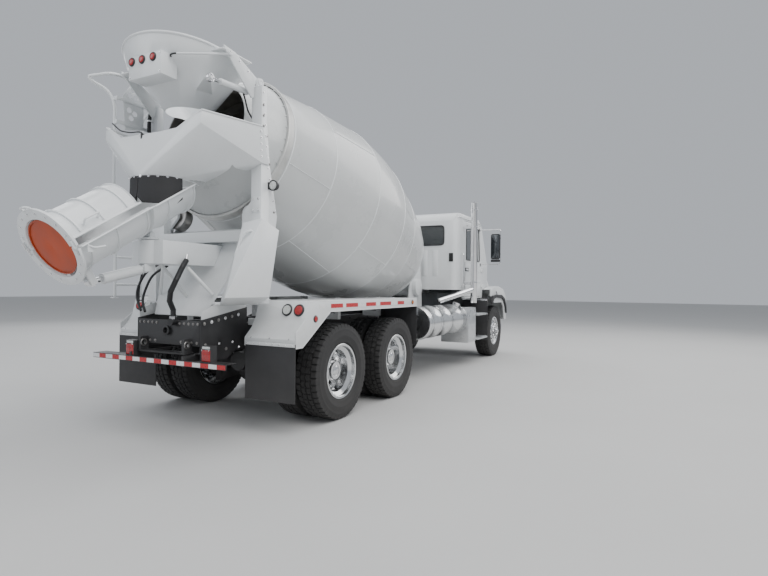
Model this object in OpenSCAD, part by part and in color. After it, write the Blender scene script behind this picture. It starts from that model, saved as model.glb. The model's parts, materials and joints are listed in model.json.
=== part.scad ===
// Concrete mixer truck, three axles, drum discharging at the rear.
// +X is forward, +Y is the driver's left, +Z is up, and the ground is at z = 0.
// Places along the truck are measured from the rearmost axle (x = 0 there),
// and x_shift moves the whole model so that its box is centred on the origin.

/* [Running gear] */
// Distance between the two rear axles
tandem = 1370; // [1300:10:1400]
// Rearmost axle to front axle
front_axle_x = 6380; // [6300:10:6450]
// Radius of a rear tyre
tyre_r = 525; // [520:1:525]
// Width of a rear tyre
tyre_w = 280; // [260:5:285]
// Middle of an outer rear tyre from the centre line
outer_y = 1080; // [1078:1:1084]
// Middle of an inner rear tyre from the centre line
inner_y = 755; // [750:1:758]
// Radius of a front tyre
front_tyre_r = 540; // [530:1:542]
// Width of a front tyre
front_tyre_w = 320; // [300:5:325]
// Middle of a front tyre from the centre line
front_y = 980; // [975:1:985]
// Radius of a rim's edge
rim_r = 302; // [300:1:304]
// Kingpin from the centre line
kingpin_y = 850; // [845:1:852]

/* [Frame] */
// Outer face of a frame rail from the centre line
rail_y = 430; // [425:1:432]
// Lower edge of the rails
rail_z = 790; // [785:1:795]
// Height of the rails
rail_h = 270; // [260:5:275]
// Rear end of the frame
frame_back = -1300; // [-1305:1:-1295]
// Front end of the frame
frame_front = 6990; // [6980:1:6995]

/* [Cab and hood] */
// Rear face of the cab
cab_back = 4110; // [4105:1:4115]
// Half width of the cab
cab_y = 1020; // [1018:1:1022]
// Top of the roof
roof_z = 2830; // [2820:1:2840]
// Thickness of the cab walls
cab_wall = 40; // [36:1:44]
// Door's hinge line
door_x = 5700; // [5698:1:5702]
// Length of a door
door_len = 1060; // [1055:1:1062]
// Lower edge of the doors
door_z = 1290; // [1285:1:1295]
// Front of the hood
hood_front = 7060; // [7055:1:7062]
// Front face of the bumper
bumper_x = 7100; // [7095:1:7105]

/* [Drum] */
// Height of the drum's axis over drum_x
drum_z = 2315; // [2310:1:2320]
// Place along the truck where that height is taken
drum_x = 2000; // [1995:1:2005]
// Tilt of the drum's axis, mouth end up
drum_tilt = 15; // [14.9:0.1:15.1]
// Largest radius of the drum
drum_r = 1160; // [1155:1:1162]
// Thickness of the drum's wall
drum_wall = 12; // [10:1:14]
// Radius of the roller track
track_r = 840; // [838:1:842]
// Roller track's place along the drum's axis
track_s = 2570; // [2565:1:2575]
// Radius of a drum roller
roller_r = 130; // [126:1:132]

/* [Chute] */
// Slope of the chute
chute_slope = 31.4; // [31:0.1:31.8]
// Rear end of the chute, along the truck
chute_x = -2440; // [-2442:1:-2438]
// Height of the rear end of the chute
chute_z = 1740; // [1738:1:1742]
// Inner radius of the chute
chute_r = 318; // [314:1:320]
// Thickness of the chute's sheet
chute_t = 8; // [6:1:9]
// Post that the chute turns on, along the truck
post_x = -1540; // [-1542:1:-1538]
// Tilt pin, along the truck
tilt_x = -1560; // [-1562:1:-1558]
// Tilt pin's height
tilt_z = 1925; // [1923:1:1927]

/* [Hidden] */
$fn = 48;
// Outer radius of the chute's end flange, and the rearmost point of the truck, on it.
flange_r = 337;
x_back = chute_x - flange_r * sin(chute_slope) - 20 * cos(chute_slope);
x_shift = -(bumper_x + x_back) / 2;
// Hood pivot [x, z], water tank, hopper rim and chute sizes.
hood_pin = [6995, 690];
tank_x = 3750;
tank_z = 1460;
tank_r = 150;
hopper_x = -1080;
hopper_z = 3650;
chute_in = chute_r - 56;
wide_up = 65;
chute_len = 1320;
fold_len = 700;
// Leaning rear plate of the pedestal, and the sloping top edge of the frame's side plates.
function lean_x(z) = -1190 + (z - 1140) * 490 / 910;
function arc_pts(cx, cy, r, a0, a1, n) = [for (i = [0 : n]) [cx + r * cos(a0 + (a1 - a0) * i / n), cy + r * sin(a0 + (a1 - a0) * i / n)]];
function foot_z(x) = 1120 + (x - frame_back + 12) * 110 / 632;

// Paint and metal colours as seen on the truck.
white = [0.86, 0.87, 0.87];
black = [0.05, 0.05, 0.055];
bright = [0.75, 0.76, 0.77];
rubber = [0.07, 0.07, 0.07];

// Sides of the truck: [name is left, sign of y].
SIDES = [-1, 1];

// Drum outline from the front head to the mouth: [place along the axis, outer radius].
drum_outline = [
    [-1660, 260], [-1600, 500], [-1480, 640], [-1300, 742], [-1100, 838], [-850, 925], [-300, 1030],
    [290, 1136], [560, 1157], [700, drum_r], [860, 1158], [1093, 1150], [1892, 990], [2500, 836], [2640, 790],
    [2980, 560]];

// Rim section on one side: [from the rim's edge radius, from the flange's inner face]. Outside, then inside.
seat_r = rim_r - 16;
rim_out = [[0, 14], [0, 0], [-16, 0], [-16, -32], [-58, -58]];
rim_in = [[-4, 16], [-24, 12], [-30, -26], [-70, -54]];

// Charge and discharge side.
hinge_x = -860;
hinge_z = 3470;
col_front = -760;
col_back = -900;
col_in = 676;
col_out = 800;
roller_ang = 33;

// Lift ram eyes: [x, z] of the barrel's eye and of the rod's eye.
ram_b = [-1600, 1600];
ram_r = [-2120, 1472];
ram_len = norm(ram_r - ram_b);
ram_ang = atan2(ram_r[1] - ram_b[1], ram_r[0] - ram_b[0]);
// Hopper ram eyes: [x, z].
hram_b = [-945, 3372];
hram_r = [-1424, 3341];
hram_y = -640;
hram_len = norm(hram_r - hram_b);
hram_ang = atan2(hram_r[1] - hram_b[1], hram_r[0] - hram_b[0]);

module place() translate([x_shift, 0, 0]) children();
// A bar along Y between two values of y.
module ybar(x, z, r, y0, y1, f = 32) translate([x, y0, z]) rotate([-90, 0, 0]) cylinder(r = r, h = y1 - y0, $fn = f);
module zbar(x, y, r, z0, z1, f = 32) translate([x, y, z0]) cylinder(r = r, h = z1 - z0, $fn = f);
module xbar(y, z, r, x0, x1, f = 32) translate([x0, y, z]) rotate([0, 90, 0]) cylinder(r = r, h = x1 - x0, $fn = f);
module box(x0, x1, y0, y1, z0, z1) translate([x0, y0, z0]) cube([x1 - x0, y1 - y0, z1 - z0]);
// A plate cut in side view, points are [x, z], between two values of y.
module side_plate(pts, y0, y1) translate([0, y1, 0]) rotate([90, 0, 0]) linear_extrude(height = y1 - y0) polygon(pts);
// A tube through a list of points [x, y, z] with ball corners.
module rod(a, b, r, f = 20) {
    v = b - a;
    translate(a) rotate([0, acos(v[2] / norm(v)), atan2(v[1], v[0])]) cylinder(r = r, h = norm(v), $fn = f);
}
module pipe(pts, r, f = 20) {
    for (i = [0 : len(pts) - 2]) rod(pts[i], pts[i + 1], r, f);
    for (i = [1 : len(pts) - 2]) translate(pts[i]) sphere(r = r * 1.02, $fn = f);
}
// The drum's own frame: z runs along its axis toward the mouth, x is up.
module on_drum() translate([drum_x, 0, drum_z]) rotate([0, drum_tilt - 90, 0]) children();
// The chute's own frame: x runs up along the chute, z is square to it, y is across.
module on_chute() translate([chute_x, 0, chute_z]) rotate([0, -chute_slope, 0]) children();

// ---------------------------------------------------------------- frame
module chassis_frame() place() color(black) {
    difference() {
        union() {
            for (s = SIDES) {
                box(frame_back, frame_front, s > 0 ? rail_y - 10 : -rail_y, s > 0 ? rail_y : -rail_y + 10, rail_z, rail_z + rail_h);
                for (z = [rail_z, rail_z + rail_h - 10])
                    box(frame_back, frame_front, s > 0 ? rail_y - 90 : -rail_y, s > 0 ? rail_y : -rail_y + 90, z, z + 10);
                // deep side plates at the rear
                side_plate([[frame_back - 12, 720], [-960, 720], [-860, rail_z + 5], [-680, rail_z + 5], [-680, foot_z(-680)], [frame_back - 12, foot_z(frame_back - 12)]],
                    s > 0 ? rail_y - 1 : -rail_y - 11, s > 0 ? rail_y + 11 : -rail_y + 1);
            }
            // crossmembers: [middle, half length, low, high]
            for (c = [[frame_back - 6, 6, 870, 1110], [-700, 40, 830, 1040], [685, 70, 820, 1040], [1900, 40, 830, 1040], [3250, 40, 830, 1040], [4700, 40, 830, 1000], [6900, 50, 800, 1050]])
                box(c[0] - c[1], c[0] + c[1], -rail_y + 5, rail_y - 5, c[2], c[3]);
            // rear tow plates
            for (y = [-300, 300]) box(-1400, -1300, y - 15, y + 15, 800, 940);
            box(-1400, -1290, -330, 330, 792, 808);
        }
        for (y = [-300, 300]) ybar(-1338, 880, 24, y - 20, y + 20);
    }
}
module front_bumper() place() color(bright) {
    difference() {
        union() {
            box(bumper_x - 70, bumper_x, -1080, 1080, 390, 640);
            for (s = SIDES) {
                side_plate([[bumper_x - 75, 400], [bumper_x - 69, 400], [bumper_x - 69, 630], [bumper_x - 75, 630]], s * 390 - 100, s * 390 + 100);
                side_plate([[6862, rail_z], [7020, 420], [7031, 420], [7031, 700], [6985, rail_z]], s * 385 - 8, s * 385 + 8);
            }
        }
        for (s = SIDES) xbar(s * 560, 500, 25, bumper_x - 90, bumper_x + 10);
    }
    // pivots of the tilting hood
    for (s = SIDES) ybar(hood_pin[0], hood_pin[1], 14, s > 0 ? 390 : -480, s > 0 ? 480 : -390);
}
module engine_block() place() color([0.25, 0.25, 0.26]) {
    box(6165, 6750, -330, 330, 850, 1560);
    box(5300, 6170, -220, 220, 850, 1350);
}
// ---------------------------------------------------------------- axles
module front_axle_beam() place() color(black) {
    box(front_axle_x - 45, front_axle_x + 45, -620, 620, 400, 490);
    for (s = SIDES) {
        box(front_axle_x - 60, front_axle_x + 60, s * 390 - 50, s * 390 + 50, 480, 520);
        difference() {
            union() {
                rod([front_axle_x, s * 600, 445], [front_axle_x, s * 800, 540], 45);
                zbar(front_axle_x, s * kingpin_y, 52, 480, 600);
                box(front_axle_x - 40, front_axle_x + 40, s > 0 ? 770 : -kingpin_y, s > 0 ? kingpin_y : -770, 500, 580);
            }
            zbar(front_axle_x, s * kingpin_y, 22.05, 400, 700);
        }
    }
}
module knuckle(s) place() color(black) {
    zbar(front_axle_x, s * kingpin_y, 22, 440, 640);
    for (z = [440, 606]) zbar(front_axle_x, s * kingpin_y, 50, z, z + 34);
    box(front_axle_x - 50, front_axle_x + 50, s > 0 ? kingpin_y + 60 : -kingpin_y - 85, s > 0 ? kingpin_y + 85 : -kingpin_y - 60, 440, 640);
    for (z = [440, 606]) box(front_axle_x - 40, front_axle_x + 40, s > 0 ? kingpin_y : -kingpin_y - 70, s > 0 ? kingpin_y + 70 : -kingpin_y, z, z + 34);
    ybar(front_axle_x, front_tyre_r, 40, s > 0 ? kingpin_y + 70 : -kingpin_y - 250, s > 0 ? kingpin_y + 250 : -kingpin_y - 70);
    // steering arm, pointing back
    box(front_axle_x - 210, front_axle_x - 30, s > 0 ? kingpin_y - 30 : -kingpin_y - 10, s > 0 ? kingpin_y + 10 : -kingpin_y + 30, 442, 470);
}
module knuckle_left() knuckle(1);
module knuckle_right() knuckle(-1);

module rear_axles() place() color(black) {
    for (x = [0, tandem]) {
        ybar(x, tyre_r, 75, -885, 885);
        ybar(x, tyre_r, 45, -1090, 1090);
        translate([x, 0, tyre_r]) rotate([90, 0, 0]) cylinder(r = 215, h = 200, center = true, $fn = 48);
        xbar(0, tyre_r + 60, 110, x - 330, x + 330);
        for (s = SIDES) ybar(x, tyre_r, 190, s > 0 ? 590 : -600, s > 0 ? 600 : -590);
    }
    xbar(0, tyre_r + 60, 50, 300, tandem - 300);
    rod([tandem + 320, 0, 585], [4650, 0, 900], 55);
}
module suspension() place() color(black) {
    for (s = SIDES) {
        // rear walking beams and their saddles
        side_plate([[-120, 300], [220, 330], [500, 330], [685, 360], [870, 330], [1150, 330], [1490, 300], [1490, 420], [1150, 480], [685, 500], [220, 480], [-120, 420]], s * 500 - 45, s * 500 + 45);
        ybar(tandem / 2, 620, 70, s * 500 - 60, s * 500 + 60);
        side_plate([[500, 740], [870, 740], [760, 500], [610, 500]], s * 500 - 50, s * 500 + 50);
        box(440, 930, s > 0 ? rail_y : -560, s > 0 ? 560 : -rail_y, 738, 860);
        for (x = [0, tandem]) box(x - 40, x + 40, s * 500 - 40, s * 500 + 40, 415, 450);
        // front leaf springs
        for (i = [0 : 2]) box(front_axle_x - 620 + i * 150, front_axle_x + 480 - i * 110, s * 385 - 45, s * 385 + 45, 522 + (2 - i) * 14 + 0.5, 535 + (2 - i) * 14);
        for (x = [front_axle_x - 610, front_axle_x + 450]) box(x - 25, x + 25, s * 385 - 40, s * 385 + 40, 562, rail_z);
    }
}

// ---------------------------------------------------------------- wheels
// A tyre by rotation: tread radius, width, half width of its rim between the flanges.
module tyre(r, w, hw) rotate([90, 0, 0]) rotate_extrude($fn = 96) polygon([
    [seat_r, -hw], [rim_r, -hw], [rim_r + 8, -w * 0.44], [rim_r + 60, -w * 0.49], [rim_r + 120, -w * 0.50], [r - 60, -w * 0.475], [r - 22, -w * 0.455], [r - 6, -w * 0.42], [r, -w * 0.36],
    [r, w * 0.36], [r - 6, w * 0.42], [r - 22, w * 0.455], [r - 60, w * 0.475], [rim_r + 120, w * 0.50], [rim_r + 60, w * 0.49], [rim_r + 8, w * 0.44], [rim_r, hw], [seat_r, hw],
    [seat_r, hw - 20], [rim_r + 30, w * 0.42], [r - 60, w * 0.41], [r - 30, w * 0.30], [r - 30, -w * 0.30], [r - 60, -w * 0.41], [rim_r + 30, -w * 0.42], [seat_r, -hw + 20]]);
// A rim by rotation about Y: half width between the flanges, then the disc's place across at its edge and at the hub.
module rim_body(hw, edge, hub) rotate([-90, 0, 0]) rotate_extrude($fn = 96) union() {
    polygon(concat(
        [for (k = [-1, 1], p = k < 0 ? rim_out : [for (i = [len(rim_out) - 1 : -1 : 0]) rim_out[i]]) [rim_r + p[0], k * (hw + p[1])]],
        [for (k = [1, -1], p = k > 0 ? rim_in : [for (i = [len(rim_in) - 1 : -1 : 0]) rim_in[i]]) [rim_r + p[0], k * (hw + p[1])]]));
    polygon([[rim_r - 62, edge + 14], [215, hub * 0.8 + edge * 0.2 + 9], [150, hub + 11], [90, hub + 11], [90, hub - 11], [150, hub - 11], [215, hub * 0.8 + edge * 0.2 - 9], [rim_r - 62, edge - 14]]);
}
module holes(n, r, ring, y0, y1) for (i = [0 : n - 1]) rotate([0, (i + 0.5) * 360 / n, 0]) translate([ring, y0, 0]) rotate([-90, 0, 0]) cylinder(r = r, h = y1 - y0, $fn = 24);
module twin_tyres(x, s) place() color(rubber) for (y = [inner_y, outer_y]) translate([x, s * y, tyre_r]) tyre(tyre_r, tyre_w, 105);
// Twin rims on one hub, the discs back to back.
module twin_rims(x, s) place() color(bright) translate([x, 0, tyre_r]) mirror([0, s > 0 ? 0 : 1, 0]) difference() {
    union() {
        translate([0, outer_y, 0]) rim_body(105, -70, (inner_y - outer_y) / 2 + 11);
        translate([0, inner_y, 0]) mirror([0, 1, 0]) rim_body(105, -70, (inner_y - outer_y) / 2 + 11);
        ybar(0, 0, 150, 640, 906, 48);
        ybar(0, 0, 95, 900, 1120, 48);
        ybar(0, 0, 206, 620, 800, 48);
        holes(10, 15, 143, 925, 975);
        ybar(0, 0, 110, 1060, 1075, 48);
    }
    ybar(0, 0, 45.05, 560, 1092, 48);
    ybar(0, 0, 75.6, 560, 890, 48);
    ybar(0, 0, 191, 560, 610, 48);
    holes(10, 32, 192, 880, 1000);
}
module front_tyre(s) place() color(rubber) translate([front_axle_x, s * front_y, front_tyre_r]) tyre(front_tyre_r, front_tyre_w, 122);
module front_rim(s) place() color(bright) translate([front_axle_x, 0, front_tyre_r]) mirror([0, s > 0 ? 0 : 1, 0]) difference() {
    union() {
        translate([0, front_y, 0]) rim_body(122, 40, 118);
        ybar(0, 0, 160, 955, 1100, 48);
        ybar(0, 0, 80, 1095, 1165, 48);
        ybar(0, 0, 55, 1160, 1185, 48);
        holes(10, 15, 143, 1098, 1135);
    }
    ybar(0, 0, 40.05, 900, 1102, 48);
    ybar(0, 0, 120, 900, 985, 48);
    holes(10, 30, 200, 1000, 1200);
}
module front_tyre_left() front_tyre(1);
module front_tyre_right() front_tyre(-1);
module front_rim_left() front_rim(1);
module front_rim_right() front_rim(-1);
module middle_tyres_left() twin_tyres(tandem, 1);
module middle_tyres_right() twin_tyres(tandem, -1);
module middle_rims_left() twin_rims(tandem, 1);
module middle_rims_right() twin_rims(tandem, -1);
module rear_tyres_left() twin_tyres(0, 1);
module rear_tyres_right() twin_tyres(0, -1);
module rear_rims_left() twin_rims(0, 1);
module rear_rims_right() twin_rims(0, -1);

// ---------------------------------------------------------------- cab
// Side outline of the cab, [x, z], outside; d draws it inward.
function cab_side(d) = [[cab_back + d, 1420 + d], [cab_back + d, 2680 - d * 0.4], [cab_back + 70 + d * 0.6, roof_z - 40 - d * 0.6], [cab_back + 180, roof_z - d], [5480, roof_z - d], [5690 - d * 0.8, 2720 - d], [6130 - d * 1.1, 1930 - d * 0.6], [6130 - d * 1.1, 1420 + d]];
module cab_plan(d) let(r = 90 - d * 0.6) polygon(concat([[6600, cab_y - d]], arc_pts(cab_back + d + r, cab_y - d - r, r, 90, 180, 5),
    arc_pts(cab_back + d + r, -cab_y + d + r, r, 180, 270, 5), [[6600, -cab_y + d]]));
module cab_solid(d) intersection() {
    side_plate(cab_side(d), -cab_y - 10, cab_y + 10);
    translate([0, 0, 1300]) linear_extrude(height = 1700) cab_plan(d);
}
module cab_shell() place() color(white) {
    difference() {
        union() {
            cab_solid(0);
            // skirts under the doors
            for (s = SIDES) side_plate([[4640, 1425], [4660, 1255], [5760, 1255], [5800, 1425]], s > 0 ? cab_y - 60 : -cab_y, s > 0 ? cab_y : -cab_y + 60);
        }
        cab_solid(cab_wall);
        // door openings
        for (s = SIDES) {
            side_plate([[door_x - door_len - 8, door_z - 8], [door_x + 4, door_z - 8], [door_x + 4, 1960], [door_x - 100, 2725], [door_x - door_len - 8, 2725]], s > 0 ? cab_y - 80 : -cab_y - 40, s > 0 ? cab_y + 40 : -cab_y + 80);
        }
        // rear window
        box(cab_back - 20, cab_back + 60, -800, 800, 2240, 2580);
        // windscreen
        box(5500, 6300, -880, 880, 2010, 2690);
    }
    // hinge pins of the doors
    for (s = SIDES, z = [1500, 1820]) {
        zbar(door_x + 12, s * (cab_y + 14), 7, z - 45, z + 45);
        for (dz = [-45, 33]) box(door_x + 5, door_x + 40, s > 0 ? cab_y - 2 : -cab_y - 21, s > 0 ? cab_y + 21 : -cab_y + 2, z + dz, z + dz + 12);
    }
}
module cab_glass() place() color([0.1, 0.12, 0.13, 0.6]) {
    box(cab_back + 12, cab_back + 18, -800, 800, 2240, 2580);
    intersection() {
        difference() { side_plate(cab_side(12), -880, 880); side_plate(cab_side(20), -900, 900); }
        box(5600, 6300, -880, 880, 2010, 2690);
    }
}
module cab_interior() place() color([0.14, 0.14, 0.15]) {
    // seats: [middle across]
    for (y = [-520, 520]) {
        box(4640, 5150, y - 250, y + 250, 1640, 1780);
        side_plate([[4560, 1700], [4660, 1700], [4560, 2380], [4440, 2380]], y - 240, y + 240);
        box(4700, 5060, y - 200, y + 200, 1420 + cab_wall, 1645);
    }
    // dashboard
    side_plate([[5640, 1830], [5720, 1960], [5960, 1960], [6040, 1900], [6040, 1640], [5800, 1640]], -930, 930);
    rod([5760, 520, 1842], [5543, 520, 1912.5], 28);
}
module steering_wheel() place() color([0.1, 0.1, 0.1]) translate([5520, 520, 1920]) rotate([0, -72, 0]) {
    rotate_extrude($fn = 64) translate([225, 0]) circle(r = 14, $fn = 24);
    cylinder(r = 50, h = 40, center = true, $fn = 32);
    for (a = [90, 210, 330]) rotate([0, 0, a]) translate([45, -20, -6]) cube([175, 40, 12]);
}
// The window in a door, [x, z].
door_outline = [[door_x - door_len, door_z], [door_x - 2, door_z], [door_x - 2, 1955], [door_x - 106, 2717], [door_x - door_len, 2717]];
door_window = [[door_x - door_len + 80, 1990], [door_x - 120, 1990], [door_x - 190, 2640], [door_x - door_len + 80, 2640]];
module door(s) place() color(white) difference() {
    union() {
        side_plate(door_outline, s > 0 ? cab_y - 60 : -cab_y, s > 0 ? cab_y : -cab_y + 60);
        for (z = [1500, 1820]) {
            zbar(door_x + 12, s * (cab_y + 14), 14, z - 30, z + 30);
            box(door_x - 60, door_x + 10, s > 0 ? cab_y + 1 : -cab_y - 21, s > 0 ? cab_y + 21 : -cab_y - 1, z - 30, z + 30);
            box(door_x - 60, door_x - 10, s > 0 ? cab_y - 2 : -cab_y - 3, s > 0 ? cab_y + 3 : -cab_y + 2, z - 30, z + 30);
        }
        // handle
        box(door_x - door_len + 60, door_x - door_len + 230, s > 0 ? cab_y - 2 : -cab_y - 26, s > 0 ? cab_y + 26 : -cab_y + 2, 1790, 1822);
    }
    side_plate(door_window, s > 0 ? cab_y - 80 : -cab_y - 30, s > 0 ? cab_y + 30 : -cab_y + 80);
    for (z = [1500, 1820]) zbar(door_x + 12, s * (cab_y + 14), 7.05, z - 60, z + 60);
}
module door_left() door(1);
module door_right() door(-1);
module door_glass(s) place() color([0.1, 0.12, 0.13, 0.6]) side_plate(door_window, s > 0 ? cab_y - 36 : -cab_y + 30, s > 0 ? cab_y - 30 : -cab_y + 36);
module door_glass_left() door_glass(1);
module door_glass_right() door_glass(-1);
module mirror_arm(s) place() {
    color(black) {
        translate([5600, s * 1350, 2295]) cube([70, 200, 520], center = true);
        translate([5600, s * 1350, 2010]) cube([70, 190, 52], center = true);
    }
    color(bright) {
        pipe([[5562, s * 1026, 2640], [5622, s * 1300, 2640], [5622, s * 1420, 2640], [5622, s * 1440, 2620], [5622, s * 1440, 1960], [5622, s * 1420, 1940], [5622, s * 1024, 1930]], 9);
        box(5532, 5592, s > 0 ? cab_y : -cab_y - 10, s > 0 ? cab_y + 10 : -cab_y, 2612, 2668);
        box(5600, 5650, s > 0 ? cab_y : -cab_y - 10, s > 0 ? cab_y + 10 : -cab_y, 1905, 1955);
    }
}
module mirror_left() mirror_arm(1);
module mirror_right() mirror_arm(-1);

// ---------------------------------------------------------------- hood
// Section of the hood, [x, z] along its centre line.
module hood_arm(s) difference() {
    union() {
        side_plate([[hood_pin[0] - 27, hood_pin[1]], [hood_pin[0] + 27, hood_pin[1]], [7050, 800], [6990, 800]], s * 455 - 10, s * 455 + 10);
        ybar(hood_pin[0], hood_pin[1], 28, s * 455 - 12, s * 455 + 12);
    }
    ybar(hood_pin[0], hood_pin[1], 14.05, s * 455 - 20, s * 455 + 20);
}
module hood() place() color(white) {
    difference() {
        union() {
            side_plate([[6150, 1150], [6150, 1945], [6900, 1620], [7000, 1540], [hood_front, 1400], [hood_front, 760], [6900, 760], [6900, 1150]], -800, 800);
            // fenders, and their rear ends beside the cab
            for (s = SIDES) {
                side_plate([[6150, 1150], [6700, 1150], [6830, 1040], [6900, 760], [7040, 760], [7050, 1150], [6990, 1300], [6800, 1430], [6400, 1500], [6150, 1490]], s > 0 ? 780 : -1200, s > 0 ? 1200 : -780);
                side_plate([[5810, 1290], [5870, 1290], [5960, 1180], [6090, 1150], [6160, 1150], [6160, 1490.4], [6150, 1490], [5810, 1440]], s > 0 ? cab_y + 12 : -1200, s > 0 ? 1200 : -cab_y - 12);
            }
        }
        side_plate([[6100, 1100], [6100, 1930], [6880, 1590], [6980, 1510], [7030, 1390], [7030, 700], [6860, 700], [6860, 1100]], -770, 770);
        for (s = SIDES) side_plate([[5760, 1240], [5860, 1240], [5930, 1150], [6060, 1120], [6700, 1120], [6810, 1010], [6870, 700], [7020, 700], [7025, 1140], [6970, 1280], [6790, 1400], [6400, 1470], [6150, 1460], [5760, 1415]], s > 0 ? 740 : -1175, s > 0 ? 1175 : -740);
        // grille opening
        box(hood_front - 50, hood_front + 20, -480, 480, 800, 1380);
    }
    for (s = SIDES) hood_arm(s);
}
module hood_trim() place() {
    color([0.12, 0.12, 0.12]) for (i = [0 : 8]) box(hood_front - 34, hood_front - 10, -480, 480, 820 + i * 64, 836 + i * 64);
    color(bright) for (s = SIDES) box(hood_front, hood_front + 14, s * 850 - 150, s * 850 + 150, 900, 1080);
    color(black) for (s = SIDES) difference() {
        side_plate([[5790, 1130], [5850, 1300], [6000, 1310], [6150, 1320], [6600, 1310], [6830, 1230], [6960, 1060], [6990, 900], [6950, 900], [6900, 1040], [6780, 1180], [6600, 1240], [6150, 1260], [5960, 1230], [5850, 1130]], s > 0 ? 1200 : -1240, s > 0 ? 1240 : -1200);
    }
}

// ---------------------------------------------------------------- beside the frame
module fuel_tank() place() color([0.82, 0.83, 0.84]) {
    for (s = SIDES) {
        xbar(s * 900, 890, 260, 2650, 4400, 64);
        color(bright) for (x = [2720, 3120, 3560, 4120]) xbar(s * 900, 890, 266, x, x + 60, 64);
        for (x = [2720, 4120]) box(x, x + 60, s > 0 ? rail_y : -680, s > 0 ? 680 : -rail_y, 800, 1000);
    }
}
module water_tank() place() color(white) ybar(tank_x, tank_z, tank_r, -480, 480, 48);
module cab_steps() place() color(bright) for (s = SIDES) {
    box(4440, 4880, s > 0 ? 640 : -1170, s > 0 ? 1170 : -640, 440, 1090);
    for (z = [470, 930]) box(4870, 5480, s > 0 ? 900 : -1230, s > 0 ? 1230 : -900, z, z + 30);
    for (x = [4880, 5440]) box(x, x + 20, s > 0 ? 900 : -930, s > 0 ? 930 : -900, 480, 960);
    for (x = [4500, 4800]) box(x, x + 30, s > 0 ? rail_y : -700, s > 0 ? 700 : -rail_y, 850, 950);
}
module exhaust_stack() place() color(bright) {
    zbar(4570, -1225, 60, 1180, 2960, 48);
    rod([4570, -1225, 2900], [4520, -1243, 3040], 52, 48);
    rod([3960, -780, 1215], [4570, -1225, 1430], 50, 48);
    for (z = [1520, 2560]) box(4545, 4595, -1200, -cab_y, z, z + 50);
}
// Rear fenders over both axles on each side.
module rear_fenders() place() color(white) for (s = SIDES) {
    y0 = s > 0 ? 620 : -1246;
    y1 = s > 0 ? 1246 : -620;
    side_plate([[-706, 1304], [1905, 1304], [1905, 1190], [-317, 1190], [-804, 859], [-913, 859], [-913, 1015], [-752, 1134]], s > 0 ? 1242 : -1250, s > 0 ? 1250 : -1242);
    // top tray and its front end
    side_plate([[-706, 1296], [1905, 1296], [1905, 1304], [-706, 1304]], y0, y1);
    side_plate([[1897, 1190], [1905, 1190], [1905, 1300], [1897, 1300]], y0, y1);
    // rear lip, ledge and upper panel
    side_plate([[-913, 859], [-905, 859], [-905, 937], [-806, 1032], [-744, 1131], [-697, 1300], [-706, 1304], [-752, 1134], [-812, 1036], [-913, 941]], y0, y1);
    // supports from the frame
    for (x = [-650, 700, 1800]) {
        box(x, x + 60, s > 0 ? rail_y : -700, s > 0 ? 700 : -rail_y, 1040, 1110);
        box(x, x + 60, s > 0 ? 650 : -700, s > 0 ? 700 : -650, 1105, 1301);
    }
}
module rubber_flaps() place() color(rubber) for (s = SIDES) {
    box(-923, -913, s > 0 ? 640 : -1250, s > 0 ? 1250 : -640, 336, 900);
    box(1905, 1915, s > 0 ? 640 : -1245, s > 0 ? 1245 : -640, 640, 1260);
    // splash guards behind the front wheels
    box(5640, 5650, s > 0 ? 640 : -1180, s > 0 ? 1180 : -640, 400, 1255);
}
module light_bar() place() color(black) {
    box(-1475, -1455, -908, 908, 700, 752);
    for (s = SIDES) {
        box(-1460, -1180, s * 360 - 12, s * 360 + 12, 690, rail_z);
        box(-1456, -1330, s > 0 ? 320 : -900, s > 0 ? 900 : -520, 744, 752);
        // tail lamp housings
        box(-1440, -1364, s > 0 ? 330 : -700, s > 0 ? 450 : -580, 748, 900);
    }
}
// ---------------------------------------------------------------- drum and its stands
module front_pedestal() place() color(white) {
    for (s = SIDES) difference() {
        side_plate([[3450, 1062], [4060, 1062], [4040, 1420], [3960, 2030], [3800, 2030], [3700, 1740], [3540, 1560], [3500, 1400]], s > 0 ? 380 : -400, s > 0 ? 400 : -380);
        ybar(tank_x, tank_z, tank_r, -500, 500, 48);
    }
    box(3440, 4065, -425, 425, rail_z + rail_h, rail_z + rail_h + 12);
    on_drum() difference() {
        translate([-212, -385, -1860]) cube([424, 770, 20]);
        translate([0, 0, -1870]) cylinder(r = 182, h = 40, $fn = 48);
    }
}
module drum_gearbox() place() color([0.3, 0.31, 0.32]) on_drum() {
    translate([0, 0, -2010]) cylinder(r = 178, h = 320, $fn = 48);
    translate([0, 0, -1840]) cylinder(r = 205, h = 26, $fn = 48);
    translate([0, 0, -1700]) cylinder(r = 120, h = 35, $fn = 48);
}
module drum_shell() place() color(white) on_drum() rotate_extrude($fn = 128) polygon(concat(
    drum_outline,
    [for (i = [len(drum_outline) - 1 : -1 : 0]) [drum_outline[i][0] + (i == 0 ? drum_wall : 0), drum_outline[i][1] - drum_wall]],
    [[-1648, 0.001], [-1660, 0.001]]) * [[0, 1], [1, 0]]);
module drum_track() place() color([0.5, 0.5, 0.5]) on_drum() rotate_extrude($fn = 128) difference() {
    translate([track_r - 30, track_s - 45]) square([30, 90]);
    // seated on the shell
    polygon(concat(drum_outline, [[drum_outline[len(drum_outline) - 1][0], 0.001], [drum_outline[0][0], 0.001]]) * [[0, 1], [1, 0]]);
}
module on_roller(s) on_drum() rotate([0, 0, s * roller_ang]) translate([-(track_r + roller_r + 1), 0, track_s]) children();
module roller(s) place() color([0.45, 0.45, 0.46]) on_roller(s) difference() {
    translate([0, 0, -55]) cylinder(r = roller_r, h = 110, $fn = 64);
    translate([0, 0, -60]) cylinder(r = 30.05, h = 120, $fn = 48);
}
module roller_left() roller(-1);
module roller_right() roller(1);

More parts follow.
